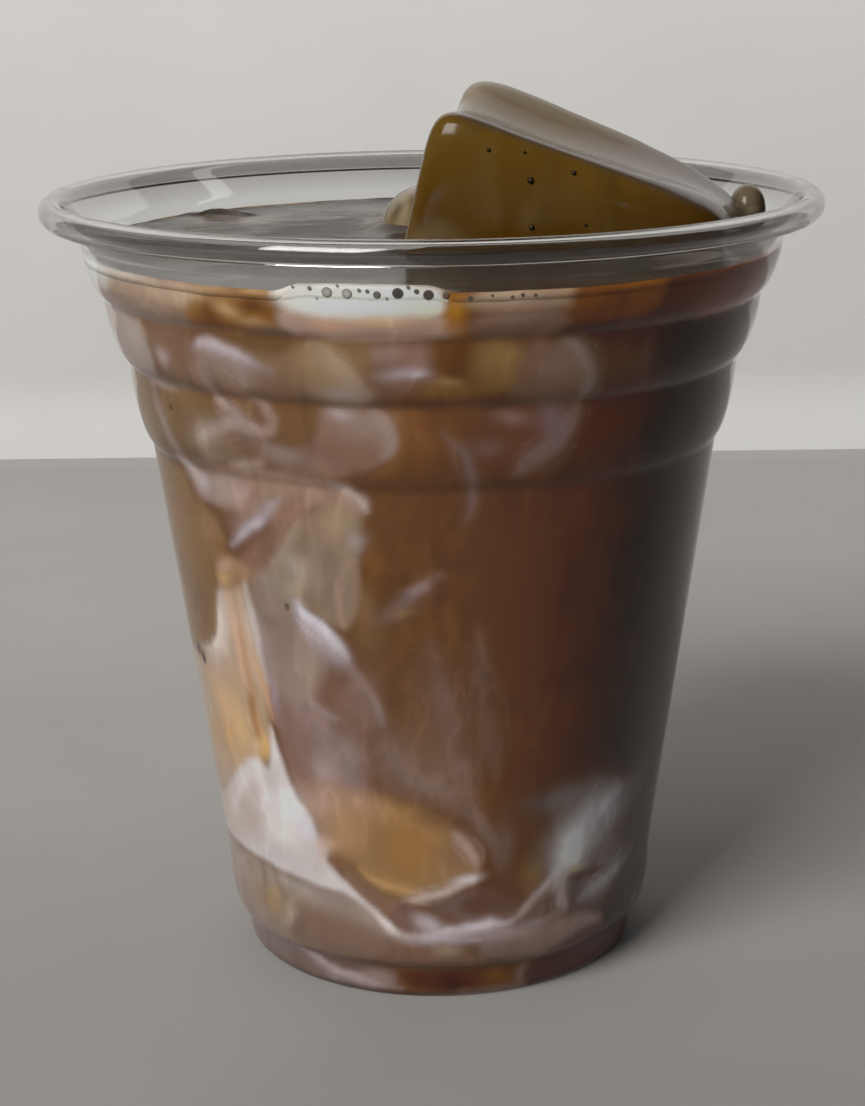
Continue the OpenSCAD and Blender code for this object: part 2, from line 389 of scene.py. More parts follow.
def clearPet():
    # thermoformed PET: clear and hard-glossy with slight flow waves, so its edges read and its walls vanish
    material, tree, out = newMaterial("thermoformed_clear_pet")
    place = addNode(tree, "ShaderNodeTexCoord")
    # flow waves about 14 mm apart
    waves = addNode(tree, "ShaderNodeTexNoise", {"Scale": 1 / 0.014, "Detail": 2.0},
                    {"Vector": place.outputs["Object"]})
    bump = addNode(tree, "ShaderNodeBump", {"Strength": 0.12, "Distance": 0.0004},
                   {"Height": waves.outputs["Fac"]})
    # the rolled rim, from 93.5 to 96.5 mm up, is the thickest plastic and reads greyest
    parts = addNode(tree, "ShaderNodeSeparateXYZ", (), {"Vector": place.outputs["Object"]})
    upward = addNode(tree, "ShaderNodeMapRange", {"From Min": 0.0935, "From Max": 0.0965},
                     {"Value": parts.outputs["Z"]})
    tint = addNode(tree, "ShaderNodeValToRGB", {"stops": [(0.0, rgba("#F7F8F8")), (1.0, rgba("#D2D1CF"))]},
                   {"Fac": upward.outputs["Result"]})
    glass = addNode(tree, "ShaderNodeBsdfPrincipled",
                    {"Roughness": 0.03, "IOR": 1.5, "Specular IOR Level": 0.25, "Transmission Weight": 1.0},
                    {"Base Color": tint.outputs["Color"], "Normal": bump.outputs["Normal"]})
    clear = addNode(tree, "ShaderNodeBsdfTransparent", {"Color": rgba("#F2F3F3")})
    path = addNode(tree, "ShaderNodeLightPath")
    passes = addNode(tree, "ShaderNodeMath", {"operation": "MAXIMUM"},
                     {0: path.outputs["Is Shadow Ray"], 1: path.outputs["Is Diffuse Ray"]})
    both = addNode(tree, "ShaderNodeMixShader", (),
                   {0: passes.outputs[0], 1: glass.outputs[0], 2: clear.outputs[0]})
    tree.links.new(both.outputs[0], out.inputs["Surface"])
    return material


seat(cupPiece, clearPet(), "clear_plastic", "cup")

# The drink.

drink = dict(
    reach=0.2, lift=0.3, fixedBelow=4,
    frontColumns=304, backColumns=110, frontHalf=86, wallRows=226, baseRows=9,
    lid=((0.5, 0.15), (1.5, 0.9), (6, 1.6), (20, 1.8), (34, 1.8)), lidDrop=1.8,  # how far in and down
)


def brimHeight(angles):
    # how far the drink climbs the wall above its level: a little all round, more at the froth in front
    a = (angles + 180) % 360 - 180
    froth = ease(-24, -19, a) * (1 - ease(-1, 4, a))
    ring = np.stack([np.sin(np.radians(a)), np.cos(np.radians(a)), 0 * a], -1) * 43
    return 0.25 + 0.95 * froth + 0.12 * ripple(ring, 5, 3)


def drinkBody(d):
    line = shifted(outerLine, cup["wall"] - d["reach"])
    top = drinkLevel + d["lift"]
    up = line[:np.argmax(line[:, 1] > top + 1.5) + 1]
    base = np.argmax((up[:, 0] > cup["foot"] - 3) & (up[:, 1] < 2))
    bottom = resample(up[:base + 1], count=d["baseRows"])[1:-1]
    wall = up[base:]
    wall = wall[: np.argmax(wall[:, 1] > top)]
    wall = np.r_[wall, [[np.interp(top, up[base:, 1], up[base:, 0]), top]]]
    wall = resample(wall, count=d["wallRows"])
    half = d["frontHalf"]
    front = np.linspace(-half, half, d["frontColumns"], endpoint=False)
    back = np.linspace(half, 360 - half, d["backColumns"], endpoint=False)
    angles = np.r_[front, back]
    brim = drinkLevel + brimHeight(angles)
    low = drinkLevel - d["fixedBelow"]
    grid = turned(wall, angles)
    z = grid[..., 2]
    share = np.clip((z - low) / (top - low), 0, 1)
    z = np.where(z > low, low + share * (brim[None] - low), z)
    r = np.where(z > low, np.interp(z, wall[60:, 1], wall[60:, 0]), wall[:, :1])
    a = np.radians(angles)[None]
    grid = np.stack([r * np.sin(a), -r * np.cos(a), z], -1)
    # the top closes just under the surface piece, down from the brim
    lid = []
    for inward, drop in d["lid"]:
        across = r[-1] - inward
        down = np.full_like(brim, drinkLevel - drop)
        if inward < 2:
            down = np.maximum(brim - drop, drinkLevel - d["lidDrop"])
        lid.append(np.stack([across * np.sin(a[0]), -across * np.cos(a[0]), down], -1))
    full = np.concatenate([turned(bottom, angles), grid, np.stack(lid)])
    return full, (0, 0, up[0, 1]), (0, 0, drinkLevel - d["lidDrop"])


# Milk and coffee along the wall.
# Every mark is noted by angle and height, in the tone it has under the window light,
# which lightOn takes out again.
# glow: tone, strength, middle, half sizes, turn. pool: tone, strength, edge softness, outline.
# stream: tone, strength, half width, softness to its left and to its right, line.

glow, pool, stream = "glow", "pool", "stream"
perDegree = 0.62  # millimetres of wall to a degree, at the middle of the cup

topBand = [
    (pool, "#A48A74", 0.9, 0.5, [(-84, 89.5), (-60, 89.6), (-42, 89.4), (-24, 90), (-24, 93), (-84, 93)]),
    (glow, "#B49C84", 0.7, (-42, 91.2), (11, 0.9), 0),
    (pool, "#8D7768", 0.8, 0.7, [(-84, 87.2), (-24, 87.2), (-25, 89.4), (-42, 89.2), (-60, 89.7),
                 (-84, 89.3)]),
    (glow, "#A58A78", 0.6, (-50, 89.2), (6, 0.6), 0),
    (pool, "#C9C4BF", 0.95, 0.9, [(-90, 88), (-72, 88.6), (-66, 89.8), (-62, 91), (-60, 93.5), (-90, 93.5)]),
    (glow, "#BDB6B0", 0.7, (-58, 92.6), (9, 0.9), 0),
    (pool, "#8A5C1E", 0.85, 0.6, [(-42, 87.5), (-41, 90), (-38.5, 91.6), (-33, 92.3), (-24.5, 92.4),
                 (-23.8, 90), (-24.4, 88.4), (-28, 88), (-31, 87.6), (-36, 87.2)]),
    (glow, "#5E3502", 0.95, (-27.6, 90.6), (3.4, 1.1), 4),
    (glow, "#633A04", 0.9, (-36.2, 89.4), (2.2, 1.5), 10),
    (glow, "#5A3206", 0.8, (-36, 87.9), (6, 0.9), 0),
    (glow, "#B5916A", 0.8, (-32.4, 89.9), (2.0, 0.8), -25),
    (glow, "#A98667", 0.7, (-28.6, 88.7), (2.2, 0.5), 0),
    (glow, "#B9A181", 0.6, (-38.5, 91.4), (2.4, 0.5), 0),
    (glow, "#C29A62", 0.6, (-29, 92.2), (5, 0.4), 0),
    (pool, "#AC8F7E", 0.95, 0.35, [(-24, 87.2), (4, 87.2), (5, 89), (1.5, 90.4), (-12, 90.4), (-20, 90.6),
                 (-24, 90.6)]),
    (glow, "#BE9478", 0.7, (-16.5, 89.1), (3.2, 0.7), 0),
    (glow, "#C7A47E", 0.7, (-7.5, 89.6), (5, 0.5), 0),
    (glow, "#A58A82", 0.6, (-21.5, 88.8), (2, 1.2), 0),
    (glow, "#9C7F72", 0.6, (-1, 88.7), (3.5, 0.8), 0),
    (pool, "#CFC7BF", 1.0, 0.3, [(-24, 94), (-24.2, 91.8), (-22.5, 90.7), (-19.5, 90.1), (-14, 90.05),
                 (-6, 90.1), (0, 90.2), (1.8, 90.9), (1.9, 92), (0.8, 94)]),
    (glow, "#DDD8D0", 0.7, (-15, 91.2), (6, 0.7), 0),
    (glow, "#D9C7A6", 0.5, (-0.5, 91), (2.2, 0.8), 0),
    (pool, "#7A4D0C", 0.9, 0.5, [(1.6, 93), (2.6, 90.6), (1.8, 88.6), (3.8, 86.9), (6.4, 87.4), (5.6, 89.4),
                 (6, 91.4), (5.4, 93)]),
    (glow, "#9A6A18", 0.6, (3.4, 90.9), (1.3, 1.0), 0),
    (pool, "#8C745F", 0.9, 0.5, [(5.6, 90), (21.5, 90), (22.5, 91.3), (21, 93.4), (5.6, 93.4)]),
    (glow, "#A28F7C", 0.7, (11, 91.7), (5, 0.6), 0),
    (pool, "#6E5547", 0.9, 0.5, [(5, 87.2), (20.8, 87.2), (21.6, 90.2), (6, 90.2)]),
    (glow, "#7D665C", 0.6, (13, 89.4), (5, 0.6), 0),
    (pool, "#5C3708", 0.95, 0.8, [(21.4, 88.4), (27, 88), (34, 88.6), (38, 90), (37, 93.5), (22, 93.5),
                 (21, 91)]),
    (glow, "#6B420C", 0.7, (24.5, 91.4), (2.6, 0.8), 0),
    (glow, "#5E3E14", 0.7, (34, 92), (4.4, 0.9), 0),
    (pool, "#442303", 0.9, 1.2, [(38, 87), (92, 87), (92, 94), (39, 94)]),
    (pool, "#3A2014", 0.8, 0.6, [(20.5, 87), (40, 87), (40, 88.4), (21, 88.2)]),
    (stream, "#4A342A", 0.6, 0.5, 0.8, 0.8, [(44, 87.6), (55, 87.8), (66, 88.8), (80, 89)]),
]

middleTier = [
    (pool, "#83705F", 0.55, 2.2, [(-84, 79.5), (-56, 79.5), (-56, 86.5), (-84, 86.5)]),
    (pool, "#97877F", 0.95, 0.45, [(-82, 80.3), (-62, 79.6), (-57.5, 80), (-55.3, 81.6), (-55, 83.6),
                 (-56.2, 85.6), (-58.5, 87), (-82, 87)]),
    (glow, "#A69892", 0.6, (-61, 84), (4, 2), 0),
    (stream, "#A0826C", 0.6, 0.2, 0.3, 0.6, [(-58.4, 86.9), (-56.2, 85.6), (-55.2, 84)]),
    (pool, "#765A47", 0.9, 1.0, [(-54.5, 80.2), (-40, 79.8), (-40, 86.8), (-57, 87)]),
    (glow, "#A4918C", 0.85, (-51.4, 82.8), (1.6, 1.1), 20),
    (pool, "#7F6650", 0.8, 1.2, [(-41, 79.6), (-12, 79.6), (-20, 86.9), (-41, 86.9)]),
    (pool, "#5C4023", 0.85, 0.8, [(-41, 86.1), (-34, 85.4), (-26, 84.2), (-22, 85.8), (-22, 87.2),
                 (-41, 87.2)]),
    (glow, "#8B7365", 0.6, (-37.5, 82.4), (4.6, 2.2), -12),
    (stream, "#9D8D8F", 0.85, 0.4, 0.25, 2.4, [(-43.4, 84.3), (-41.5, 85.1), (-39.5, 85.5), (-37, 85.2),
                 (-34.5, 84.9), (-32, 84.1), (-29.6, 83.0), (-27.4, 82.4), (-25.6, 82.5)]),
    (stream, "#B0A3A6", 0.8, 0.3, 0.25, 0.5, [(-42, 84.9), (-39.6, 85.3), (-36, 85.0), (-33, 84.4),
                 (-30, 83.2)]),
    (stream, "#8F7A74", 0.6, 0.9, 0.8, 1.2, [(-40.6, 84), (-40.8, 81.5), (-40.6, 79)]),
    (stream, "#93807A", 0.5, 0.7, 0.8, 0.8, [(-32.6, 84), (-33, 81.6), (-32.6, 80)]),
    (glow, "#735844", 0.7, (-26, 81), (4, 1.4), -12),
    (pool, "#89704F", 0.6, 1.5, [(-23, 87), (-9, 87), (-8.4, 84), (-12.5, 80), (-21, 80)]),
    (stream, "#998470", 0.75, 1.0, 0.5, 2.2, [(-20.5, 86.8), (-17, 85.4), (-14.4, 83.6), (-12.2, 81.8),
                 (-9.6, 79.9)]),
    (glow, "#94837C", 0.8, (-14.5, 80.6), (4.4, 1.0), 0),
    (pool, "#775E55", 0.85, 1.0, [(-9.4, 86.8), (0.6, 86.8), (1.2, 83), (-1.5, 80.8), (-8, 80.8)]),
    (glow, "#8F8081", 0.9, (-4.6, 83.0), (3.6, 0.7), 4),
    (glow, "#A2999F", 0.6, (-2.8, 82.8), (1.8, 0.35), 8),
    (glow, "#846E66", 0.6, (-7.5, 85.6), (2.4, 0.9), 0),
    (pool, "#523406", 0.95, 0.7, [(0.4, 87), (6.6, 87), (6.4, 84.6), (5.4, 82.4), (1.4, 82.2), (0.2, 84.4)]),
    (glow, "#6A4C2A", 0.7, (1.2, 80.8), (5.4, 1.0), 0),
    (glow, "#7A6544", 0.8, (2.4, 81.9), (2.0, 0.5), 0),
    (pool, "#6F5634", 0.85, 0.9, [(6.8, 86.9), (14, 86.9), (14.4, 82), (12, 80.6), (7, 81.4), (6.2, 83.6)]),
    (glow, "#7A623E", 0.55, (10.5, 85.2), (2.6, 1.6), 0),
    (pool, "#664F42", 0.85, 0.9, [(13.6, 86.8), (20, 86.6), (24.5, 85), (25.6, 82), (25, 79.4), (12, 79.4),
                 (13, 82)]),
    (stream, "#756A68", 0.8, 0.5, 1.2, 0.7, [(20, 86.4), (23.4, 85), (25.4, 82.6), (25.5, 80.4), (25.0, 79)]),
    (glow, "#6E5C54", 0.6, (20.5, 83.4), (3, 1.6), 0),
    (glow, "#493424", 0.7, (32, 83.4), (7, 2.8), 0),
    (glow, "#4E4038", 0.35, (37.4, 83), (1.6, 2.4), 0),
    (pool, "#1F0B03", 0.85, 2.0, [(40, 79.5), (92, 79.5), (92, 86.6), (41, 86.6)]),
]

lowestTier = [
    (pool, "#7A6347", 0.8, 1.4, [(-86, 69), (-62, 69), (-62, 79), (-86, 79)]),
    (pool, "#6F5639", 0.9, 1.0, [(-61, 71.5), (-50, 70.8), (-41, 72.5), (-40, 78.8), (-61, 78.8)]),
    (stream, "#8C7A70", 0.85, 0.9, 0.7, 0.9, [(-62.4, 78.6), (-61.6, 76), (-60.8, 74), (-59.4, 72.2),
                 (-57.2, 70.6), (-55, 69.8)]),
    (glow, "#968480", 0.7, (-58, 78.4), (5.4, 0.6), 0),
    (glow, "#8E7D70", 0.85, (-46, 73.2), (4.4, 1.9), 14),
    (stream, "#A08E88", 0.7, 0.6, 1.0, 1.2, [(-49.4, 72.2), (-46, 73.4), (-42, 74.6), (-38, 75.6),
                 (-33.4, 75.2), (-29.8, 75.2)]),
    (stream, "#9C8A82", 0.75, 0.45, 0.6, 1.2, [(-41.6, 78.6), (-39.4, 78), (-37.4, 76.8), (-35, 75.8)]),
    (stream, "#A08C82", 0.8, 0.45, 0.6, 0.9, [(-33.6, 78.7), (-30.4, 78.2), (-28.7, 77), (-28.9, 75.8),
                 (-30.4, 75), (-33, 74.6)]),
    (glow, "#765C44", 0.7, (-34.4, 77.7), (2.2, 0.8), -20),
    (glow, "#7A6350", 0.75, (-39, 72.3), (5.4, 1.2), 4),
    (glow, "#7C6C5C", 0.7, (-44, 70.8), (5, 0.6), 4),
    (glow, "#7E6A62", 0.6, (-49, 69.6), (4.6, 0.7), 6),
    (pool, "#6C4F35", 0.8, 1.2, [(-28.5, 79), (-20, 79), (-19.6, 75), (-25, 73.2), (-28.6, 74.6)]),
    (pool, "#7C6152", 0.95, 0.6, [(-19.4, 78.9), (-9.6, 79.1), (-7, 77.4), (-6.1, 75.4), (-6.9, 73.2),
                 (-9.6, 72), (-12.6, 71.1), (-16, 70.2), (-20, 69.6), (-26, 69.8), (-33, 71.4),
                 (-33.4, 73.4), (-26, 73), (-21.4, 74.4), (-19.8, 76.4)]),
    (stream, "#93827A", 0.75, 0.6, 0.35, 1.8, [(-10.4, 78.9), (-7.8, 77.6), (-6.7, 75.8), (-7.1, 73.8),
                 (-9.4, 72.5)]),
    (glow, "#9C8E8E", 0.9, (-15.6, 78.1), (2.4, 0.8), 0),
    (glow, "#8A7770", 0.6, (-12.4, 76.6), (4, 1.8), 0),
    (glow, "#745547", 0.7, (-19.6, 73), (4, 1.4), -10),
    (glow, "#8A7973", 0.7, (-28.5, 72.6), (5, 1.1), -14),
    (stream, "#74502F", 0.8, 0.5, 0.9, 0.4, [(-8, 79.2), (-5.4, 77.4), (-5, 75.2), (-6, 72.8), (-8.6, 71.2),
                 (-12, 70)]),
    (pool, "#5A3A20", 0.8, 1.6, [(-4.6, 79), (4, 79), (3, 72), (-7, 70), (-4.8, 74)]),
    (glow, "#6B472A", 0.6, (-2.6, 75), (2.2, 3.4), 0),
    (pool, "#55382A", 0.85, 1.2, [(5, 78.6), (24, 78.8), (24.4, 76), (20, 72.4), (13, 70), (6, 72)]),
    (stream, "#6A5754", 0.85, 1.0, 1.4, 1.0, [(24.8, 79), (24.3, 77), (22.5, 74.8), (19.4, 73.2),
                 (16.6, 71.8), (14.6, 70.2)]),
    (glow, "#655558", 0.7, (20.6, 76.8), (2.6, 2.6), 20),
    (glow, "#6C5750", 0.8, (13, 77.4), (3.0, 0.9), -12),
    (glow, "#64504A", 0.6, (9.4, 73.8), (2.6, 1.0), 0),
    (stream, "#665450", 0.8, 0.35, 0.9, 0.9, [(1, 76.2), (3, 74.4), (5.4, 72.8), (6.6, 70.6), (7.2, 68.2),
                 (6.8, 66), (5.2, 64)]),
    (glow, "#40250F", 0.8, (33, 75.4), (8, 3), 0),
    (pool, "#200E04", 0.8, 2.4, [(38, 68.6), (92, 68.6), (92, 79), (40, 79)]),
]

upperBody = [
    (pool, "#775A3A", 0.95, 0.6, [(-88, 67.4), (-60, 67.8), (-56, 65.4), (-51, 63.2), (-46.4, 60.4),
                 (-48.6, 57.8), (-52, 56.2), (-53.4, 54), (-53.2, 52), (-54.2, 49.6), (-55, 47),
                 (-56.6, 45.6), (-59.6, 44), (-64, 43), (-70, 42.4), (-88, 41.6)]),
    (glow, "#8D6D50", 0.7, (-52, 60.6), (4.6, 2.6), 12),
    (glow, "#7A5A38", 0.6, (-66, 58), (8, 5), 0),
    (glow, "#6B4F38", 0.7, (-62, 49), (7, 4), 0),
    (glow, "#7A5530", 0.7, (-49.4, 58.9), (2.4, 0.7), 22),
    (stream, "#CDC0B9", 0.8, 0.4, 1.9, 0.5, [(-51.4, 53), (-53, 51), (-54.2, 48.6), (-55.4, 46.4),
                 (-58, 44.6), (-62, 43.5), (-67.4, 43.0)]),
    (pool, "#95796A", 0.9, 0.8, [(-57.4, 68.4), (-53.6, 67.4), (-50.6, 68.2), (-46, 69.2), (-40, 70),
                 (-33, 70.8), (-25, 70.2), (-18, 69.2), (-14, 67.6), (-12.4, 66), (-14, 65.2), (-21, 66.2),
                 (-27, 64.8), (-31, 62.8), (-35, 63.4), (-40, 63.6), (-46, 63.9), (-51.6, 64.4),
                 (-55, 66)]),
    (pool, "#9C8781", 0.85, 0.7, [(-58, 69), (-54, 69.4), (-50, 67.8), (-43, 68.4), (-38, 67.8), (-39, 65.6),
                 (-45, 64.1), (-51.4, 64.3), (-55.4, 66.6)]),
    (stream, "#B3A5A2", 0.85, 0.5, 0.6, 1.2, [(-59.4, 69.2), (-57, 69), (-54.2, 68), (-51.4, 66.8),
                 (-49.4, 66.4)]),
    (glow, "#A79A9A", 0.7, (-50.4, 66.8), (2.6, 0.9), -6),
    (glow, "#9D816C", 0.7, (-30, 68.4), (6, 1.2), 0),
    (stream, "#AE9A8C", 0.6, 0.25, 0.4, 0.9, [(-41.5, 70), (-37.6, 70.5), (-34, 71.1), (-32, 71.6)]),
    (stream, "#A8968E", 0.85, 0.28, 0.25, 0.8, [(-20.6, 69.4), (-16.8, 68.6), (-14.4, 67.6), (-12.8, 66.4),
                 (-12.4, 65.4)]),
    (pool, "#866554", 0.9, 0.8, [(-45, 57), (-42, 58.8), (-36, 61.8), (-32, 64.6), (-27, 67), (-24.6, 64.8),
                 (-28.6, 61.6), (-31.2, 59.4), (-33.6, 57.8), (-39, 56.2)]),
    (pool, "#83695D", 0.7, 1.0, [(-46, 63.4), (-41, 64), (-34, 66), (-33, 64.4), (-38, 62.2), (-43.6, 60.2)]),
    (stream, "#A99DA2", 0.95, 0.42, 1.0, 0.3, [(-45.6, 59.0), (-43, 60.2), (-40.8, 61.4), (-38.4, 62.4),
                 (-36.2, 63.3), (-34.2, 64.6), (-32, 65.8), (-30.4, 66.8)]),
    (glow, "#B5AAB2", 0.5, (-37.4, 62.9), (2.4, 0.45), 22),
    (pool, "#A07C5E", 0.85, 0.7, [(-53, 54.4), (-51, 56.6), (-47, 58.2), (-42, 57.2), (-37, 56.6),
                 (-38, 55.2), (-43, 55), (-48.6, 53.4)]),
    (glow, "#B59468", 0.7, (-49.8, 54.4), (2.2, 0.9), 14),
    (glow, "#B39180", 0.6, (-48.6, 56.4), (2.4, 0.7), 16),
    (pool, "#85715E", 0.95, 0.5, [(-36.6, 56.9), (-34, 57.9), (-31.6, 59.8), (-29.4, 61.8), (-25.2, 64.8),
                 (-20.4, 66.4), (-15, 66.6), (-13.2, 65), (-14.6, 62.2), (-15, 58), (-15.6, 54),
                 (-18.2, 50.8), (-22, 51.2), (-26, 53.2), (-30, 52), (-37, 50.6), (-39.6, 53.4)]),
    (pool, "#7F6A5C", 0.8, 1.2, [(-27.5, 61), (-22, 62.6), (-16, 60), (-16.4, 54.4), (-19, 51.8),
                 (-23.4, 53), (-27.4, 56)]),
    (glow, "#8E7A60", 0.7, (-18.4, 64.4), (3.2, 1.4), 14),
    (glow, "#938682", 0.8, (-14.6, 62.0), (2.0, 1.3), 0),
    (glow, "#A09184", 0.8, (-29.4, 58.4), (2.6, 2.2), 40),
    (glow, "#A39388", 0.7, (-34.6, 55.6), (4, 1.4), 8),
    (stream, "#9C8B7A", 0.6, 0.3, 0.8, 0.3, [(-36, 57.0), (-33.4, 58.2), (-31.2, 60.2), (-29, 62.2),
                 (-25.6, 64.8)]),
    (glow, "#68441C", 0.85, (-11.8, 58.4), (1.7, 3.6), 4),
    (glow, "#775B41", 0.7, (-13.8, 53.6), (1.8, 3.0), -10),
    (glow, "#583A20", 0.6, (-6, 61.6), (5, 4), 0),
    (pool, "#8D7A6E", 0.9, 0.9, [(-41, 55.6), (-36, 57), (-29.6, 55.6), (-28, 52), (-25, 48), (-24, 44),
                 (-30, 40), (-38.6, 40), (-40.4, 47)]),
    (glow, "#A2947F", 0.7, (-29.8, 55.4), (1.8, 1.2), -30),
    (glow, "#867069", 0.7, (-32.8, 47.6), (4.4, 3.0), 0),
    (pool, "#A3969A", 0.8, 1.3, [(-29.4, 53.4), (-25, 50.8), (-20, 48.6), (-18, 46), (-20.4, 45.2),
                 (-25.4, 46.8), (-28.8, 50)]),
    (stream, "#BFB9BE", 1.0, 0.5, 0.3, 1.3, [(-29.6, 54.4), (-28.5, 53), (-26.4, 51.7), (-23.8, 50.5),
                 (-21.4, 49.4), (-19.6, 48), (-18.6, 46.6)]),
    (glow, "#C8C3C8", 0.7, (-26.8, 51.9), (1.6, 0.5), -34),
    (stream, "#8E7D7C", 0.85, 0.4, 0.6, 1.7, [(-18.8, 46.8), (-16.4, 44.6), (-14, 42.6), (-12.8, 40.4),
                 (-12.2, 38)]),
    (glow, "#7E655A", 0.8, (-16.6, 41.8), (3.4, 3.4), -20),
    (stream, "#76625C", 0.8, 0.55, 0.9, 0.9, [(-13, 51.8), (-9, 53.4), (-5.6, 55.2), (-2.4, 56.9),
                 (1.6, 58.4)]),
    (glow, "#7B6A6C", 0.6, (-4.6, 56), (2.2, 0.6), 22),
    (glow, "#775F44", 0.8, (-7.4, 53.4), (2.4, 0.6), 16),
    (glow, "#6A5038", 0.6, (-14, 49.6), (3.4, 2.0), 0),
]

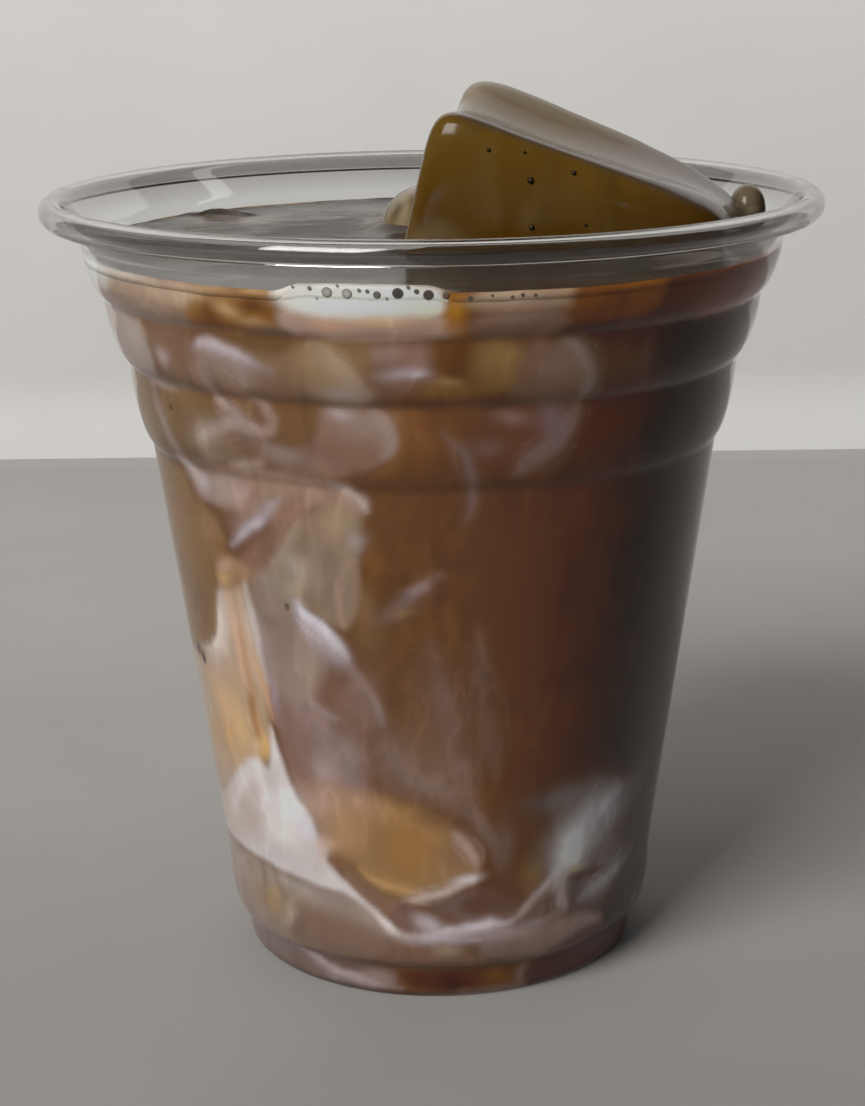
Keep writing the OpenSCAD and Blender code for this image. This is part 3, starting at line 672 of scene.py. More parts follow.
lowerBody = [
    (pool, "#B0957C", 0.92, 0.8, [(-90, 41), (-72, 41.2), (-62, 42.8), (-57.8, 44.2), (-54.8, 46.6),
                 (-53.8, 49.4), (-52.8, 52.4), (-49, 53.4), (-44, 54.8), (-41, 55.8), (-40, 48), (-40.6, 40),
                 (-41.6, 33), (-48, 30), (-58, 27), (-66, 23.6), (-90, 20)]),
    (glow, "#A99788", 0.8, (-76, 36), (8, 6), 0),
    (glow, "#C6A078", 0.8, (-58, 36.6), (6, 3.0), 0),
    (glow, "#BE935F", 0.75, (-58.6, 32), (3.2, 2.2), 10),
    (glow, "#A98660", 0.7, (-68, 31), (5, 2.6), 14),
    (glow, "#C9A477", 0.8, (-52.4, 34), (3.4, 3.6), 0),
    (stream, "#BEAA9C", 0.75, 1.3, 1.6, 1.6, [(-50.6, 54), (-52.2, 50), (-53.2, 47), (-56, 44), (-62, 42.2)]),
    (stream, "#C9A48C", 0.8, 0.8, 0.8, 0.8, [(-48.6, 53), (-48.4, 48), (-47.8, 44), (-48.6, 40)]),
    (stream, "#BFA28C", 0.8, 0.8, 0.8, 0.8, [(-45.2, 54.4), (-44.8, 49), (-43.8, 44), (-42.6, 40)]),
    (stream, "#C2B8B2", 0.85, 0.7, 0.7, 0.7, [(-42, 56), (-42.4, 52), (-41.6, 48), (-40.8, 44.6),
                 (-40.4, 41)]),
    (stream, "#C4966C", 0.7, 0.4, 0.6, 0.6, [(-43.4, 46), (-42, 42), (-40.6, 39.4), (-39, 36.4)]),
    (stream, "#9E8C94", 0.85, 0.8, 0.6, 1.1, [(-40, 51.4), (-39, 47.4), (-38.6, 43.4), (-37.8, 39.4),
                 (-37, 35.8)]),
    (stream, "#AE8462", 0.85, 0.5, 0.7, 0.7, [(-46.2, 49), (-46.8, 45), (-46.6, 41), (-46.2, 37),
                 (-46, 33.4)]),
    (stream, "#8C6238", 0.85, 0.7, 0.6, 0.7, [(-46.6, 40), (-46.6, 37), (-46.2, 34.4), (-45.4, 33)]),
    (glow, "#CBA163", 0.85, (-44.2, 32.4), (1.9, 2.0), -30),
    (pool, "#80645A", 0.9, 0.9, [(-38.6, 40), (-33, 41), (-30, 40.6), (-31.4, 36), (-31, 30), (-34.4, 26.6),
                 (-37.4, 29), (-38.4, 33)]),
    (pool, "#7B5C4D", 0.85, 0.8, [(-33.4, 46), (-27, 46.6), (-20, 44.6), (-15, 41), (-13, 37.6), (-18, 37.6),
                 (-24, 39.4), (-29, 41.2)]),
    (stream, "#968480", 0.75, 0.3, 0.35, 1.4, [(-34.6, 43.6), (-31.6, 41.9), (-28.6, 40.5), (-25.6, 39.6),
                 (-22.4, 38.7)]),
    (pool, "#8C7876", 0.8, 2.4, [(-33, 42), (-28.4, 39.8), (-23.6, 38), (-19, 35.4), (-18, 31),
                 (-21.6, 28.6), (-27, 30), (-31.4, 34.6)]),
    (glow, "#A08C8A", 0.8, (-27, 31.4), (3.6, 2.4), 0),
    (glow, "#80706E", 0.7, (-19.6, 32.4), (3.0, 4.4), 0),
    (pool, "#A0836F", 0.85, 1.7, [(-35, 27.4), (-28, 29.6), (-21, 28.4), (-20.4, 24), (-25, 21.4),
                 (-29.6, 21.8), (-32, 24)]),
    (glow, "#A7877A", 0.8, (-28.6, 27), (4.4, 2.2), 10),
    (pool, "#6E574C", 0.75, 2.6, [(-19, 38), (-6, 38), (6, 33), (6, 27.6), (-6, 28.6), (-15, 30)]),
    (glow, "#6C5340", 0.6, (-2, 36), (9, 9), 10),
    (stream, "#72605A", 0.6, 1.0, 1.6, 1.6, [(-12, 38), (-10, 34), (-6, 31.6), (0, 30.4), (4, 29)]),
    (stream, "#6B5650", 0.6, 0.8, 1.8, 1.8, [(-2, 50), (0, 44), (2.6, 38), (5.4, 32), (8, 28)]),
    (stream, "#625049", 0.5, 0.7, 1.8, 1.8, [(8, 52), (9.4, 44), (11.4, 37), (14, 31)]),
    (pool, "#C9C0BE", 1.0, 0.55, [(-90, 21.4), (-74, 21.4), (-66, 23.8), (-58.6, 27.2), (-52.4, 29.8),
                 (-48, 31), (-46, 30.2), (-44, 29.6), (-43, 31.6), (-41.8, 34), (-41, 36.2), (-39.8, 33.6),
                 (-38.6, 29.6), (-36.4, 26.3), (-33.6, 24.8), (-31.6, 22.8), (-29.4, 21.2), (-28.6, 19),
                 (-27.2, 17.7), (-24.4, 16), (-21, 14.2), (-26, 14.6), (-34, 15), (-44, 15.7), (-56, 16),
                 (-90, 16.2)]),
    (pool, "#AB9B90", 0.75, 2.2, [(-92, 17), (-92, 22), (-72, 22.6), (-60, 26), (-53, 26.4), (-50, 22.4),
                 (-54, 18.6), (-64, 17)]),
    (stream, "#C4BBB6", 0.8, 0.5, 1.2, 1.2, [(-70, 19), (-64, 21.4), (-59, 24.4), (-55, 27)]),
    (stream, "#9A8474", 0.7, 0.4, 1.0, 1.0, [(-62, 24.8), (-58, 22.6), (-54.6, 21.6), (-51, 22.4)]),
    (glow, "#D6D0D0", 0.85, (-38.8, 24.6), (4, 2.6), -30),
    (glow, "#D2CCC2", 0.8, (-42, 21), (5, 1.6), 0),
    (glow, "#CCC6D0", 0.7, (-34.4, 22.8), (2.2, 1.4), -50),
    (stream, "#B4A6A0", 0.75, 1.3, 1.4, 1.2, [(-62, 18.4), (-57.6, 20.6), (-54, 22.8), (-50, 25.2),
                 (-46.4, 27.8)]),
    (glow, "#B1A198", 0.7, (-56, 20.6), (4.6, 1.6), 10),
    (stream, "#CFC3BE", 0.7, 0.9, 1.0, 1.0, [(-66, 21), (-59, 24.4), (-53, 27.6), (-48.6, 29.8)]),
    (glow, "#B7A79B", 0.8, (-72, 19.4), (8, 2.4), 8),
    (glow, "#B6ACAC", 0.6, (-45, 17.6), (8, 0.9), 0),
    (pool, "#8C6C4B", 0.95, 1.5, [(-29, 20.2), (-28.2, 22.6), (-25.6, 24.8), (-21.4, 27.2), (-15, 28.7),
                 (-9, 28), (-3.4, 25.8), (2.4, 24.4), (6, 22.6), (8.4, 20.2), (9.4, 18.2), (7.4, 17.2),
                 (2, 16.2), (-4.6, 15), (-10, 14.8), (-14.6, 15.6), (-18.4, 17.4), (-22.6, 19.4)]),
    (glow, "#8F673A", 0.85, (-7.4, 21.6), (6.4, 4), 0),
    (glow, "#936E42", 0.6, (-12.6, 26), (5.4, 1.8), 14),
    (glow, "#A07D66", 0.85, (-20, 27.6), (6.4, 2.0), -14),
    (glow, "#A5805F", 0.8, (-23, 23.4), (4.6, 3.0), 12),
    (glow, "#AF8C6B", 0.7, (-27, 21.8), (2.2, 0.8), 0),
    (glow, "#7A5C48", 0.7, (4.6, 20.6), (2.8, 2.4), 0),
    (glow, "#BDA69C", 0.85, (-29.8, 20.8), (2.2, 1.7), -30),
    (stream, "#B48C5E", 0.8, 0.35, 0.8, 0.4, [(-20.4, 19), (-17.6, 17.4), (-14.6, 16.6), (-11.4, 16.2),
                 (-8, 15.7), (-4, 15.4)]),
    (stream, "#7A5B45", 0.9, 0.5, 0.4, 0.4, [(-28.6, 19.6), (-26.4, 18.7), (-24, 18.6), (-21.4, 18.6)]),
    (pool, "#7C6150", 0.9, 0.6, [(-25.4, 18), (-21.4, 18.2), (-17, 16.2), (-11, 14.6), (-9.8, 13.6),
                 (-12.6, 12.2), (-15.4, 12.6), (-20, 14.6)]),
    (stream, "#C6BAB6", 1.0, 0.42, 0.3, 1.5, [(-28.2, 18.4), (-26, 16.9), (-23, 15.2), (-20, 13.8),
                 (-17, 12.4), (-14.2, 11.1), (-11.6, 10.3), (-8.6, 9.9), (-5.8, 10.2)]),
    (stream, "#9D857C", 0.8, 0.6, 0.9, 0.7, [(2.6, 24.6), (5.8, 23), (8.2, 20.8), (9.8, 18.4)]),
    (stream, "#B09C92", 0.9, 0.42, 0.8, 0.4, [(-10, 14.0), (-6, 14.5), (-1.6, 15.1), (2.6, 15.7),
                 (6.4, 16.6), (9.8, 17.4)]),
    (glow, "#BBB0AF", 0.9, (7.4, 17.3), (3.0, 0.6), 10),
    (stream, "#6C584F", 0.75, 0.8, 1.1, 1.1, [(-1, 31.4), (4, 29), (8, 26.6), (11.4, 24), (14, 21.4),
                 (15.4, 18)]),
    (glow, "#64524B", 0.6, (16.6, 21.4), (2.2, 3.6), 0),
]

footBand = [
    (pool, "#8E7C71", 0.95, 0.5, [(-90, 15.9), (-56, 15.9), (-44, 15.6), (-34, 14.9), (-26, 14.6),
                 (-20, 13.4), (-14.6, 10.6), (-14, 5), (-90, 5)]),
    (glow, "#A39890", 0.7, (-40, 14), (8, 1.0), -2),
    (glow, "#8A7A73", 0.7, (-28, 13.4), (6, 1.2), -12),
    (glow, "#8C7455", 0.85, (-50, 10.8), (5.6, 2.2), 6),
    (glow, "#9B8B80", 0.6, (-66, 13), (7, 1.6), 0),
    (glow, "#847470", 0.7, (-70, 9), (8, 1.6), 0),
    (pool, "#71584A", 0.9, 1.1, [(-41, 11.6), (-31, 11.8), (-20, 10.6), (-11, 9.2), (-3, 8), (12, 6.6),
                 (12, 5), (-42, 5), (-45, 8)]),
    (stream, "#978478", 0.6, 0.6, 0.8, 0.8, [(-47, 7.6), (-43, 9.4), (-40, 11)]),
    (pool, "#6F5E58", 0.85, 0.9, [(10, 10.6), (30, 10.4), (48, 9), (50, 6), (30, 5.2), (10, 5.4)]),
    (glow, "#85706A", 0.6, (18, 9.4), (5, 0.8), 0),
    (pool, "#695049", 0.9, 0.5, [(-11.4, 13.6), (-8.6, 14.3), (-5.2, 13.4), (-4.8, 11.6), (-6, 10.4),
                 (-8.6, 10.2), (-11.8, 10.8), (-13, 12)]),
    (pool, "#64514B", 0.85, 0.6, [(-5, 14.4), (4, 15.2), (12, 16.2), (20, 14), (22, 12.4), (14, 11.6),
                 (6, 11.7), (0, 13)]),
    (pool, "#523A2E", 0.85, 0.9, [(8, 15.4), (20, 17.4), (27, 17), (26, 14.6), (21, 12.6), (12, 12),
                 (5, 13)]),
    (glow, "#624A2C", 0.8, (24, 17), (3.4, 2.4), 10),
    (glow, "#A4989B", 0.9, (-2.4, 11.4), (3.6, 1.0), -14),
    (stream, "#B4A8AC", 0.95, 0.38, 0.3, 1.3, [(-7, 9.9), (-3, 9.8), (1, 10.2), (4.6, 10.7), (8.6, 11.1),
                 (12.6, 11.1), (16.4, 10.9), (19.6, 11.4)]),
    (stream, "#8C7F7C", 0.9, 0.38, 0.3, 1.2, [(18.6, 11.2), (21.6, 12.3), (24, 13.6), (26.6, 14.8),
                 (29, 15.8), (31.2, 17.4)]),
    (glow, "#A3999D", 0.85, (0.6, 9.5), (7, 0.8), 2),
    (glow, "#857161", 0.8, (2.4, 7.7), (4, 0.9), 0),
    (glow, "#7F7073", 0.5, (12, 9.6), (8, 0.8), 0),
    (glow, "#7A7878", 0.85, (38, 21.6), (9, 4.2), 24),
    (glow, "#636064", 0.6, (46, 23.0), (9, 2.6), 16),
    (glow, "#3E3B3B", 0.5, (57, 25), (8, 3.6), 20),
    (stream, "#807E81", 0.6, 0.5, 2.8, 1.6, [(33, 18), (36, 20.6), (40, 22.8), (45, 24.6), (51, 26)]),
    (glow, "#555151", 0.7, (46, 14.6), (11, 4.4), 16),
    (stream, "#6F6B6B", 0.7, 0.6, 1.2, 1.2, [(38, 11.6), (46, 12.6), (54, 14), (62, 16)]),
    (glow, "#575455", 0.6, (30, 27), (8, 1.6), 0),
    (glow, "#A8A8A8", 0.95, (34.2, 19.0), (3.6, 2.4), 30),
    (glow, "#8A8786", 0.8, (31.4, 16.6), (2.0, 1.6), 20),
    (stream, "#7A6F6C", 0.8, 0.9, 0.9, 1.2, [(31.4, 17), (32.6, 14.6), (33, 12.6), (35, 10.6)]),
    (glow, "#7C705C", 0.8, (36.4, 16.2), (2.6, 0.6), 0),
    (stream, "#3C2A25", 0.85, 0.45, 0.5, 0.5, [(33.6, 15.3), (38, 15.1), (43, 15.2), (48, 15.2)]),
    (glow, "#54443F", 0.9, (26.4, 11.9), (3.4, 0.9), 8),
    (glow, "#6B6160", 0.7, (25, 10.3), (6, 0.6), 4),
    (pool, "#2D2420", 0.7, 2.2, [(52, 5), (92, 5), (92, 26), (56, 26)]),
    (pool, "#2A1B14", 0.8, 0.9, [(30, 5.2), (92, 5), (92, 8.4), (44, 7.8), (32, 6.4)]),
    (glow, "#4B4B4C", 0.7, (68, 6.6), (4, 1.0), -20),
    (pool, "#72645F", 0.9, 0.5, [(-90, 5), (-38, 4.8), (-12, 4.8), (-14, 0), (-90, 0)]),
    (glow, "#8F8380", 0.7, (-58, 5.2), (9, 0.5), 0),
    (pool, "#5B4135", 0.85, 0.6, [(-44, 4.4), (-12, 4.6), (-12, 2.6), (-24, 2.6), (-36, 3.8)]),
    (stream, "#A09090", 0.9, 0.5, 0.4, 0.8, [(-46, 4.9), (-42, 4.6), (-38.6, 3.8), (-34, 2.8), (-28, 2.3),
                 (-22.6, 1.8), (-17, 1.3), (-10, 1.2)]),
    (glow, "#8C746E", 0.8, (-18, 2.8), (4, 1.0), 0),
    (pool, "#46280A", 0.95, 0.6, [(-12, 4.5), (22, 4.5), (22, 1.2), (6, 0.9), (-10, 1.7)]),
    (glow, "#2E1405", 0.7, (4, 2.2), (5, 1.0), 0),
    (glow, "#5E4219", 0.8, (16, 3), (4, 1.2), 0),
    (glow, "#66524B", 0.8, (24, 2.6), (2.6, 1.6), 0),
    (pool, "#3C2B27", 0.9, 0.6, [(24, 4.6), (92, 4.6), (92, 0), (24, 0)]),
    (stream, "#7D6A64", 0.7, 0.35, 0.5, 0.5, [(-8, 0.5), (4, 0.4), (16, 0.5), (26, 0.8)]),
]

specks = [  # tone, angle, height, size
    ("#3A2B1E", -55.4, 75.8, 0.42), ("#4E4136", -31.9, 52.8, 0.42),
    ("#241E1C", -66.6, 41.6, 0.9), ("#2E2622", -69.6, 42.3, 0.9),
]


def seededMarks(seed):
    # the far side is not known, so seeded drifts of the same milk run down it, pale and soft
    rng = np.random.default_rng(seed)
    tones = ["#9C8B84", "#A8978C", "#8E7460", "#B3A49A", "#7F6247", "#A07C5E", "#B7A79B", "#86705F"]
    marks = []
    for k in range(34):
        a, z = rng.uniform(-92, 92), rng.uniform(6, 90)
        lean, long = rng.uniform(-1.2, 1.2), rng.uniform(5, 15)
        line = [(a + lean * t * 9 + rng.normal(0, 1.6), z - long * t + rng.normal(0, 0.5))
                for t in np.linspace(0, 1, 6)]
        # strength, half width, softness to the left and to the right
        touch = [rng.uniform(*ends) for ends in ((0.45, 0.85), (0.3, 1.3), (0.4, 1.2), (1.5, 3.5))]
        marks.append((stream, tones[k % 8], *touch, line))
        if k % 3 == 0:
            turn = np.linspace(0, 2 * np.pi, 9)[:-1]
            wide, tall = rng.uniform(5, 12), rng.uniform(3, 8)
            ring = [(a + wide * math.cos(t) * rng.uniform(0.7, 1.2),
                     z + tall * math.sin(t) * rng.uniform(0.7, 1.2)) for t in turn]
            marks.insert(0, (pool, tones[(k + 3) % 8], rng.uniform(0.4, 0.75), rng.uniform(1.2, 2.4), ring))
    # milk that has sunk to the foot, and a pale band round the brim
    sunk = [(-92, 6), (-92, 22), (-60, 17), (-30, 24), (-8, 15), (16, 19), (40, 12), (70, 15), (92, 10),
            (92, 5), (0, 6)]
    brim = [(-92, 89.4), (-50, 90.2), (0, 89.2), (50, 90), (92, 89.5), (92, 94), (-92, 94)]
    return [(pool, "#B9AEA8", 0.8, 1.6, sunk), *marks, (pool, "#A3907C", 0.8, 0.7, brim)]


backMarks = seededMarks(7)


def lightOn(angle):
    # the share of the window's light at an angle round the front: 0.18 + 0.55 cos(a + 38) ^ 1.3,
    # eased to one value behind
    a = (angle + 180) % 360 - 180
    front = 0.18 + 0.55 * np.clip(np.cos(np.radians(a + 38)), 0, 1) ** 1.3
    return front + (0.45 - front) * ease(76, 104, np.abs(a))


def rounded(line, closed, times=2):
    # corners cut at a quarter and three quarters of each side
    line = np.asarray(line, float)
    for _ in range(times):
        ends = np.roll(line, -1, 0) if closed else line[1:]
        starts = line if closed else line[:-1]
        cut = np.stack([starts * 0.75 + ends * 0.25, starts * 0.25 + ends * 0.75], 1).reshape(-1, 2)
        line = cut if closed else np.r_[line[:1], cut, line[-1:]]
    return line


def nearest(at, starts, ends):
    # distance to the nearest of some segments, its number, the share along it and the side, plus to the left
    run = ends - starts
    off = at[:, None] - starts[None]
    t = np.clip((off * run).sum(2) / np.maximum((run ** 2).sum(1), 1e-9), 0, 1)
    gap = np.linalg.norm(off - t[..., None] * run, axis=2)
    k = gap.argmin(1)
    row = np.arange(len(at))
    side = run[k, 0] * off[row, k, 1] - run[k, 1] * off[row, k, 0]
    return gap[row, k], k, t[row, k], side


def brush(at, mark):
    # how strongly one mark covers each place, with places in millimetres along and up the wall
    kind, strength = mark[0], mark[2]
    cover = np.zeros(len(at))
    flat = np.array([perDegree, 1.0])
    if kind == glow:
        middle, half, turn = np.array(mark[3]) * flat, np.array(mark[4]) * flat, math.radians(mark[5])
        off = at - middle
        x = (off[:, 0] * math.cos(turn) + off[:, 1] * math.sin(turn)) / half[0]
        y = (off[:, 1] * math.cos(turn) - off[:, 0] * math.sin(turn)) / half[1]
        return strength * np.exp(-0.9 * (x * x + y * y))
    line = rounded(np.array(mark[-1], float) * flat, kind == pool)
    reach = 2.4 * mark[3] if kind == pool else mark[3] + max(mark[4], mark[5]) * 2.4 + 0.4
    near = np.all((at > line.min(0) - reach) & (at < line.max(0) + reach), axis=1)
    p = at[near]
    if kind == pool:
        ends = np.roll(line, -1, 0)
        gap = nearest(p, line, ends)[0]
        crosses = (line[:, 1] > p[:, 1:]) != (ends[:, 1] > p[:, 1:])
        climb = np.where(ends[:, 1] == line[:, 1], 1e-9, ends[:, 1] - line[:, 1])
        xs = line[:, 0] + (p[:, 1:] - line[:, 1]) / climb * (ends[:, 0] - line[:, 0])
        inside = (crosses & (p[:, :1] < xs)).sum(1) % 2 == 1
        fray = 1.4 * mark[3] * (1 + 0.5 * ripple(np.c_[p, 0 * gap], 2.2, 47))
        cloud = 0.9 + 0.18 * ripple(np.c_[p, 0 * gap], 4, 48)
        cover[near] = ease(-1, 1, np.where(inside, gap, -gap) / np.maximum(fray, 0.7)) * cloud
    else:
        gap, k, t, side = nearest(p, line[:-1], line[1:])
        share = (k + t) / (len(line) - 1)
        slim = np.clip(np.minimum(share, 1 - share) * 3.2, 0, 1) ** 0.8
        soft = np.where(side > 0, mark[4], mark[5]) * (0.35 + 0.65 * slim)
        wide = mark[3] * (0.25 + 0.75 * slim)
        # beside the line a thread runs along it, broken up by noise
        broken = ripple(np.c_[p, 0 * gap], 3, 43)
        beside = (gap - wide - soft * (0.9 + 0.5 * broken)) / 0.22
        thread = 0.45 * np.exp(-beside ** 2) * ease(-0.3, 0.4, broken)
        beyond = np.maximum(gap - 0.6 * wide, 0) / np.maximum(soft, 0.6)
        main = np.exp(-1.5 * beyond ** 1.25) * (0.85 + 0.3 * broken)
        cover[near] = np.clip(np.maximum(main, thread), 0, 1) * (0.1 + 0.9 * slim)
    return strength * cover


def paintWall(points):
    # coffee first, then the far side's marks, the front's with the top band last, the specks and fine veins,
    # and at the end the light is taken out
    angle = np.degrees(np.arctan2(points[:, 0], -points[:, 1]))
    z = points[:, 2]
    drift = np.stack([ripple(points, 9, 11), ripple(points, 9, 21)], 1) * 0.55
    drift += np.stack([ripple(points, 3.2, 31), ripple(points, 3.2, 41)], 1) * 0.34
    # past 78 degrees the marks are drawn out to twice their width, so they run on round the sides
    past = np.maximum(np.abs(angle) - 78, 0)
    at = np.stack([np.sign(angle) * (np.abs(angle) - past / 2) * perDegree, z], 1) + drift
    share = lightOn(angle)[:, None]
    # the coffee is darker round the right side, partly its own deeper tone and partly painted shade for the
    # side the window light leaves dark
    darkerRight = ease(22, 52, angle)[:, None] * (1 - ease(84, 120, angle))[:, None]
    tone = (linear("#704C31") * (1 - darkerRight) + linear("#5A3517") * darkerRight) * share
    tone *= 1 + 0.10 * ripple(points * (1, 1, 0.45), 12, 51)[:, None]
    backAngle = (angle + 360) % 360 - 180
    behind = np.abs(backAngle) < 96
    shown = tone[behind]
    spots = np.stack([backAngle[behind] * perDegree, z[behind]], 1) + drift[behind]
    for mark in backMarks:
        shown += brush(spots, mark)[:, None] * (linear(mark[1]) * 0.62 - shown)
    tone[behind] = shown
    front = np.abs(angle) < 125
    shown = tone[front]
    spots = at[front]
    for mark in lowerBody + footBand + upperBody + lowestTier + middleTier + topBand:
        cover = brush(spots, mark)[:, None]
        shown += cover * (linear(mark[1]) - shown)
    for code, a, h, size in specks:
        gap = np.hypot((angle[front] - a) * perDegree, z[front] - h)
        cover = (1 - ease(size * 0.5, size * 1.3, gap))[:, None] * 0.9
        shown += cover * (linear(code) - shown)
    # faint curtains: thin upright veins where a stretched noise passes through 0
    bent = points[front] * (1, 1, 0.33) + drift[front][:, :1] * 1.8
    for scale, seed, strength in ((6, 53, 0.22), (3.4, 57, 0.18), (9, 59, -0.16)):
        vein = np.exp(-(ripple(bent, scale, seed) / 0.09) ** 2)
        vein *= ease(-0.2, 0.5, ripple(points[front], 11, seed + 3))
        shown *= 1 + strength * vein[:, None]
    fade = (1 - ease(88, 106, np.abs(angle[front]) + 16 * ripple(points[front], 12, 63)))[:, None]
    tone[front] = fade * shown + (1 - fade) * tone[front]
    # the cup's sheen lays a thin haze over every tone, and a dark tone keeps its hue when that is taken off
    haze, leastShare, darkest, palest = 0.013, 0.45, linear("#241205") * 0.5, 0.86
    return np.clip(np.maximum(tone * 1.04 - haze, tone * leastShare) / share, darkest, palest)


drinkGrid, drinkFoot, drinkCap = drinkBody(drink)
drinkPaint = paintWall(np.concatenate([drinkGrid.reshape(-1, 3), [drinkFoot, drinkCap]]))
drinkPiece = makePiece("drink_body", drinkGrid, drinkFoot, drinkCap, {"milk_paint": drinkPaint})
print("drink:", drinkGrid.shape)


def stirredMilkCoffee():
    # milk coffee against the plastic: soft and matt, since the gloss is the cup's
    material, tree, out = newMaterial("stirred_milk_coffee")
    own = addNode(tree, "ShaderNodeAttribute", {"attribute_name": "milk_paint"})
    body = addNode(tree, "ShaderNodeBsdfPrincipled",
                   {"Roughness": 0.5, "IOR": 1.35, "Specular IOR Level": 0.04},
                   {"Base Color": own.outputs["Color"]})
    tree.links.new(body.outputs[0], out.inputs["Surface"])
    return material


seat(drinkPiece, stirredMilkCoffee(), "milk_coffee", "drink")

# The drink's surface.

top = dict(
    rings=60, columns=420, thick=1.1, reach=0.2, swell=0.10,
    bump=(-28.8, 28.0), bumpSize=(3.4, 1.6), bumpHeight=0.9,  # one mound of froth, afloat at the back left
)

plainIce = dict(
    skew=0, slope=0, dish=0, rise=0, droop=0, melt=0, peak=0, push=0, roll=0,
    turn=0, lean=0, sunk=0, wet=(0, 0),
)
ice = dict(
    large=dict(half=(18.8, 10.5, 15.0), round=8, skew=4.2, slope=1.31, dish=4.4, rise=3.0, droop=5.2,
               melt=1.8, peak=2.6, push=4.9, roll=2.8, at=(18.7, -7, 106.5), turn=-5, lean=13, sunk=15.0,
               wet=(-3.28, 0)),
    # depth scales a small piece's tone down as painted shade, the right piece most
    left=dict(plainIce, half=(9.5, 8.55, 7.98), round=2.5, slope=0.6, at=(2.5, 14.32, 89.72), depth=0.75),
    right=dict(plainIce, half=(2.3, 2.76, 3.31), round=2.2, at=(40.44, 5.18, 94.99), depth=0.5),
)


def footprint(x, y, block):
    # about how far outside a block's outline a place on the surface is, in millimetres
    a = math.radians(block["turn"])
    dx, dy = x - block["at"][0] - block["wet"][0], y - block["at"][1] - block["wet"][1]
    v = (dy * math.cos(a) - dx * math.sin(a)) / block["half"][1]
    u = (dx * math.cos(a) + dy * math.sin(a) - block["skew"] * np.clip((v + 1) / 2, 0, 1)) / block["half"][0]
    k = block["round"]
    return ((np.abs(u) ** k + np.abs(v) ** k + 1e-12) ** (1 / k) - 1) * min(block["half"][:2])


def mound(x, y):
    # e ^ (-d), where d is the squared distance from the mound of froth, in its own sizes
    across, along = ((p - middle) / size for p, middle, size in zip((x, y), top["bump"], top["bumpSize"]))
    return np.exp(-(across ** 2 + along ** 2))


def surfaceHeight(x, y, edge):
    # the level, drawn up by e ^ (-d / 1.3) at the wall and e ^ (-d / 1.1) at the ice,
    # with low swells and one froth bump
    flat = np.stack([x, y, 0 * x], -1).reshape(-1, 3)
    angles = np.degrees(np.arctan2(x, -y))
    rise = brimHeight(angles.ravel()).reshape(x.shape) * np.exp(-np.maximum(edge, 0) / 1.3)
    for block in ice.values():
        rise += 0.9 * np.exp(-np.maximum(footprint(x, y, block), 0) / 1.1)
    rise += top["bumpHeight"] * mound(x, y) * (1 + 0.3 * ripple(flat, 1.6, 61).reshape(x.shape))
    return drinkLevel + rise + top["swell"] * ripple(flat, 9, 62).reshape(x.shape)


def surfacePaint(points):
    # long streaks: noise stretched along x and bent by slower noise, from milky brown to dark coffee
    x, y = points[:, 0], points[:, 1]
    bend = np.stack([ripple(points, 15, 71), ripple(points, 11, 72), 0 * x], -1)
    bent = points * (0.42, 1.0, 0) + bend * 2.6
    streak = ripple(bent, 5.5, 73, 4)
    thin = np.exp(-(ripple(bent, 8, 76) / 0.09) ** 2)
    tone = linear("#3C3027") + ease(-0.3, 0.5, streak)[:, None] * (linear("#75675B") - linear("#3C3027"))
    tone += (0.9 * thin)[:, None] * (linear("#150D07") - tone)
    tone += (0.85 * mound(x, y))[:, None] * (linear("#2E2012") - tone)
    # the liquid in front of the large block lies in its shade
    shaded = ease(-7, 1, x) * (1 - ease(-24, -17, y))
    tone += (0.8 * shaded)[:, None] * (linear("#20140A") - tone)
    angles, out = np.degrees(np.arctan2(x, -y)), np.hypot(x, y)
    foam = ease(-26, -20, angles) * (1 - ease(0, 5, angles)) * ease(38.5, 42.2, out + ripple(points, 3, 77))
    tone += foam[:, None] * (linear("#DAD4CB") - tone)
    # its last millimetre takes the wall's own tones
    last = ease(wallRadius(drinkLevel) - 1.1, wallRadius(drinkLevel) - 0.3, out)
    last *= 1 - ease(70, 95, np.abs(angles))
    tone += last[:, None] * (paintWall(points) - tone)
    return np.clip(tone, 0.002, 0.86)


def drinkSurface(t):
    angles = np.arange(t["columns"]) * 360 / t["columns"]
    a = np.radians(angles)[None]
    share = np.linspace(0, 1, t["rings"] + 1)[1:, None] ** 0.75
    rim = wallRadius(drinkLevel + 0.6, t["reach"])
    r = rim * share + 0 * a
    x, y = r * np.sin(a), -r * np.cos(a)
    z = surfaceHeight(x, y, rim - r)
    upper = np.stack([x, y, z], -1)
    lower = np.stack([x[::-1] * 0.995, y[::-1] * 0.995, z[::-1] - t["thick"]], -1)
    grid = np.concatenate([lower[::-1], upper[::-1]])
    # rows run from the middle of the underside out to the wall and back to the middle of the top
    under = (0, 0, float(z[0].mean()) - t["thick"])
    over = (0, 0, float(z[0].mean()))
    return grid, under, over


surfaceGrid, surfaceUnder, surfaceOver = drinkSurface(top)
surfaceTones = surfacePaint(np.concatenate([surfaceGrid.reshape(-1, 3), [surfaceUnder, surfaceOver]]))
surfacePiece = makePiece("drink_surface", surfaceGrid, surfaceUnder, surfaceOver,
                         {"surface_paint": surfaceTones})
print("drink surface:", surfaceGrid.shape)


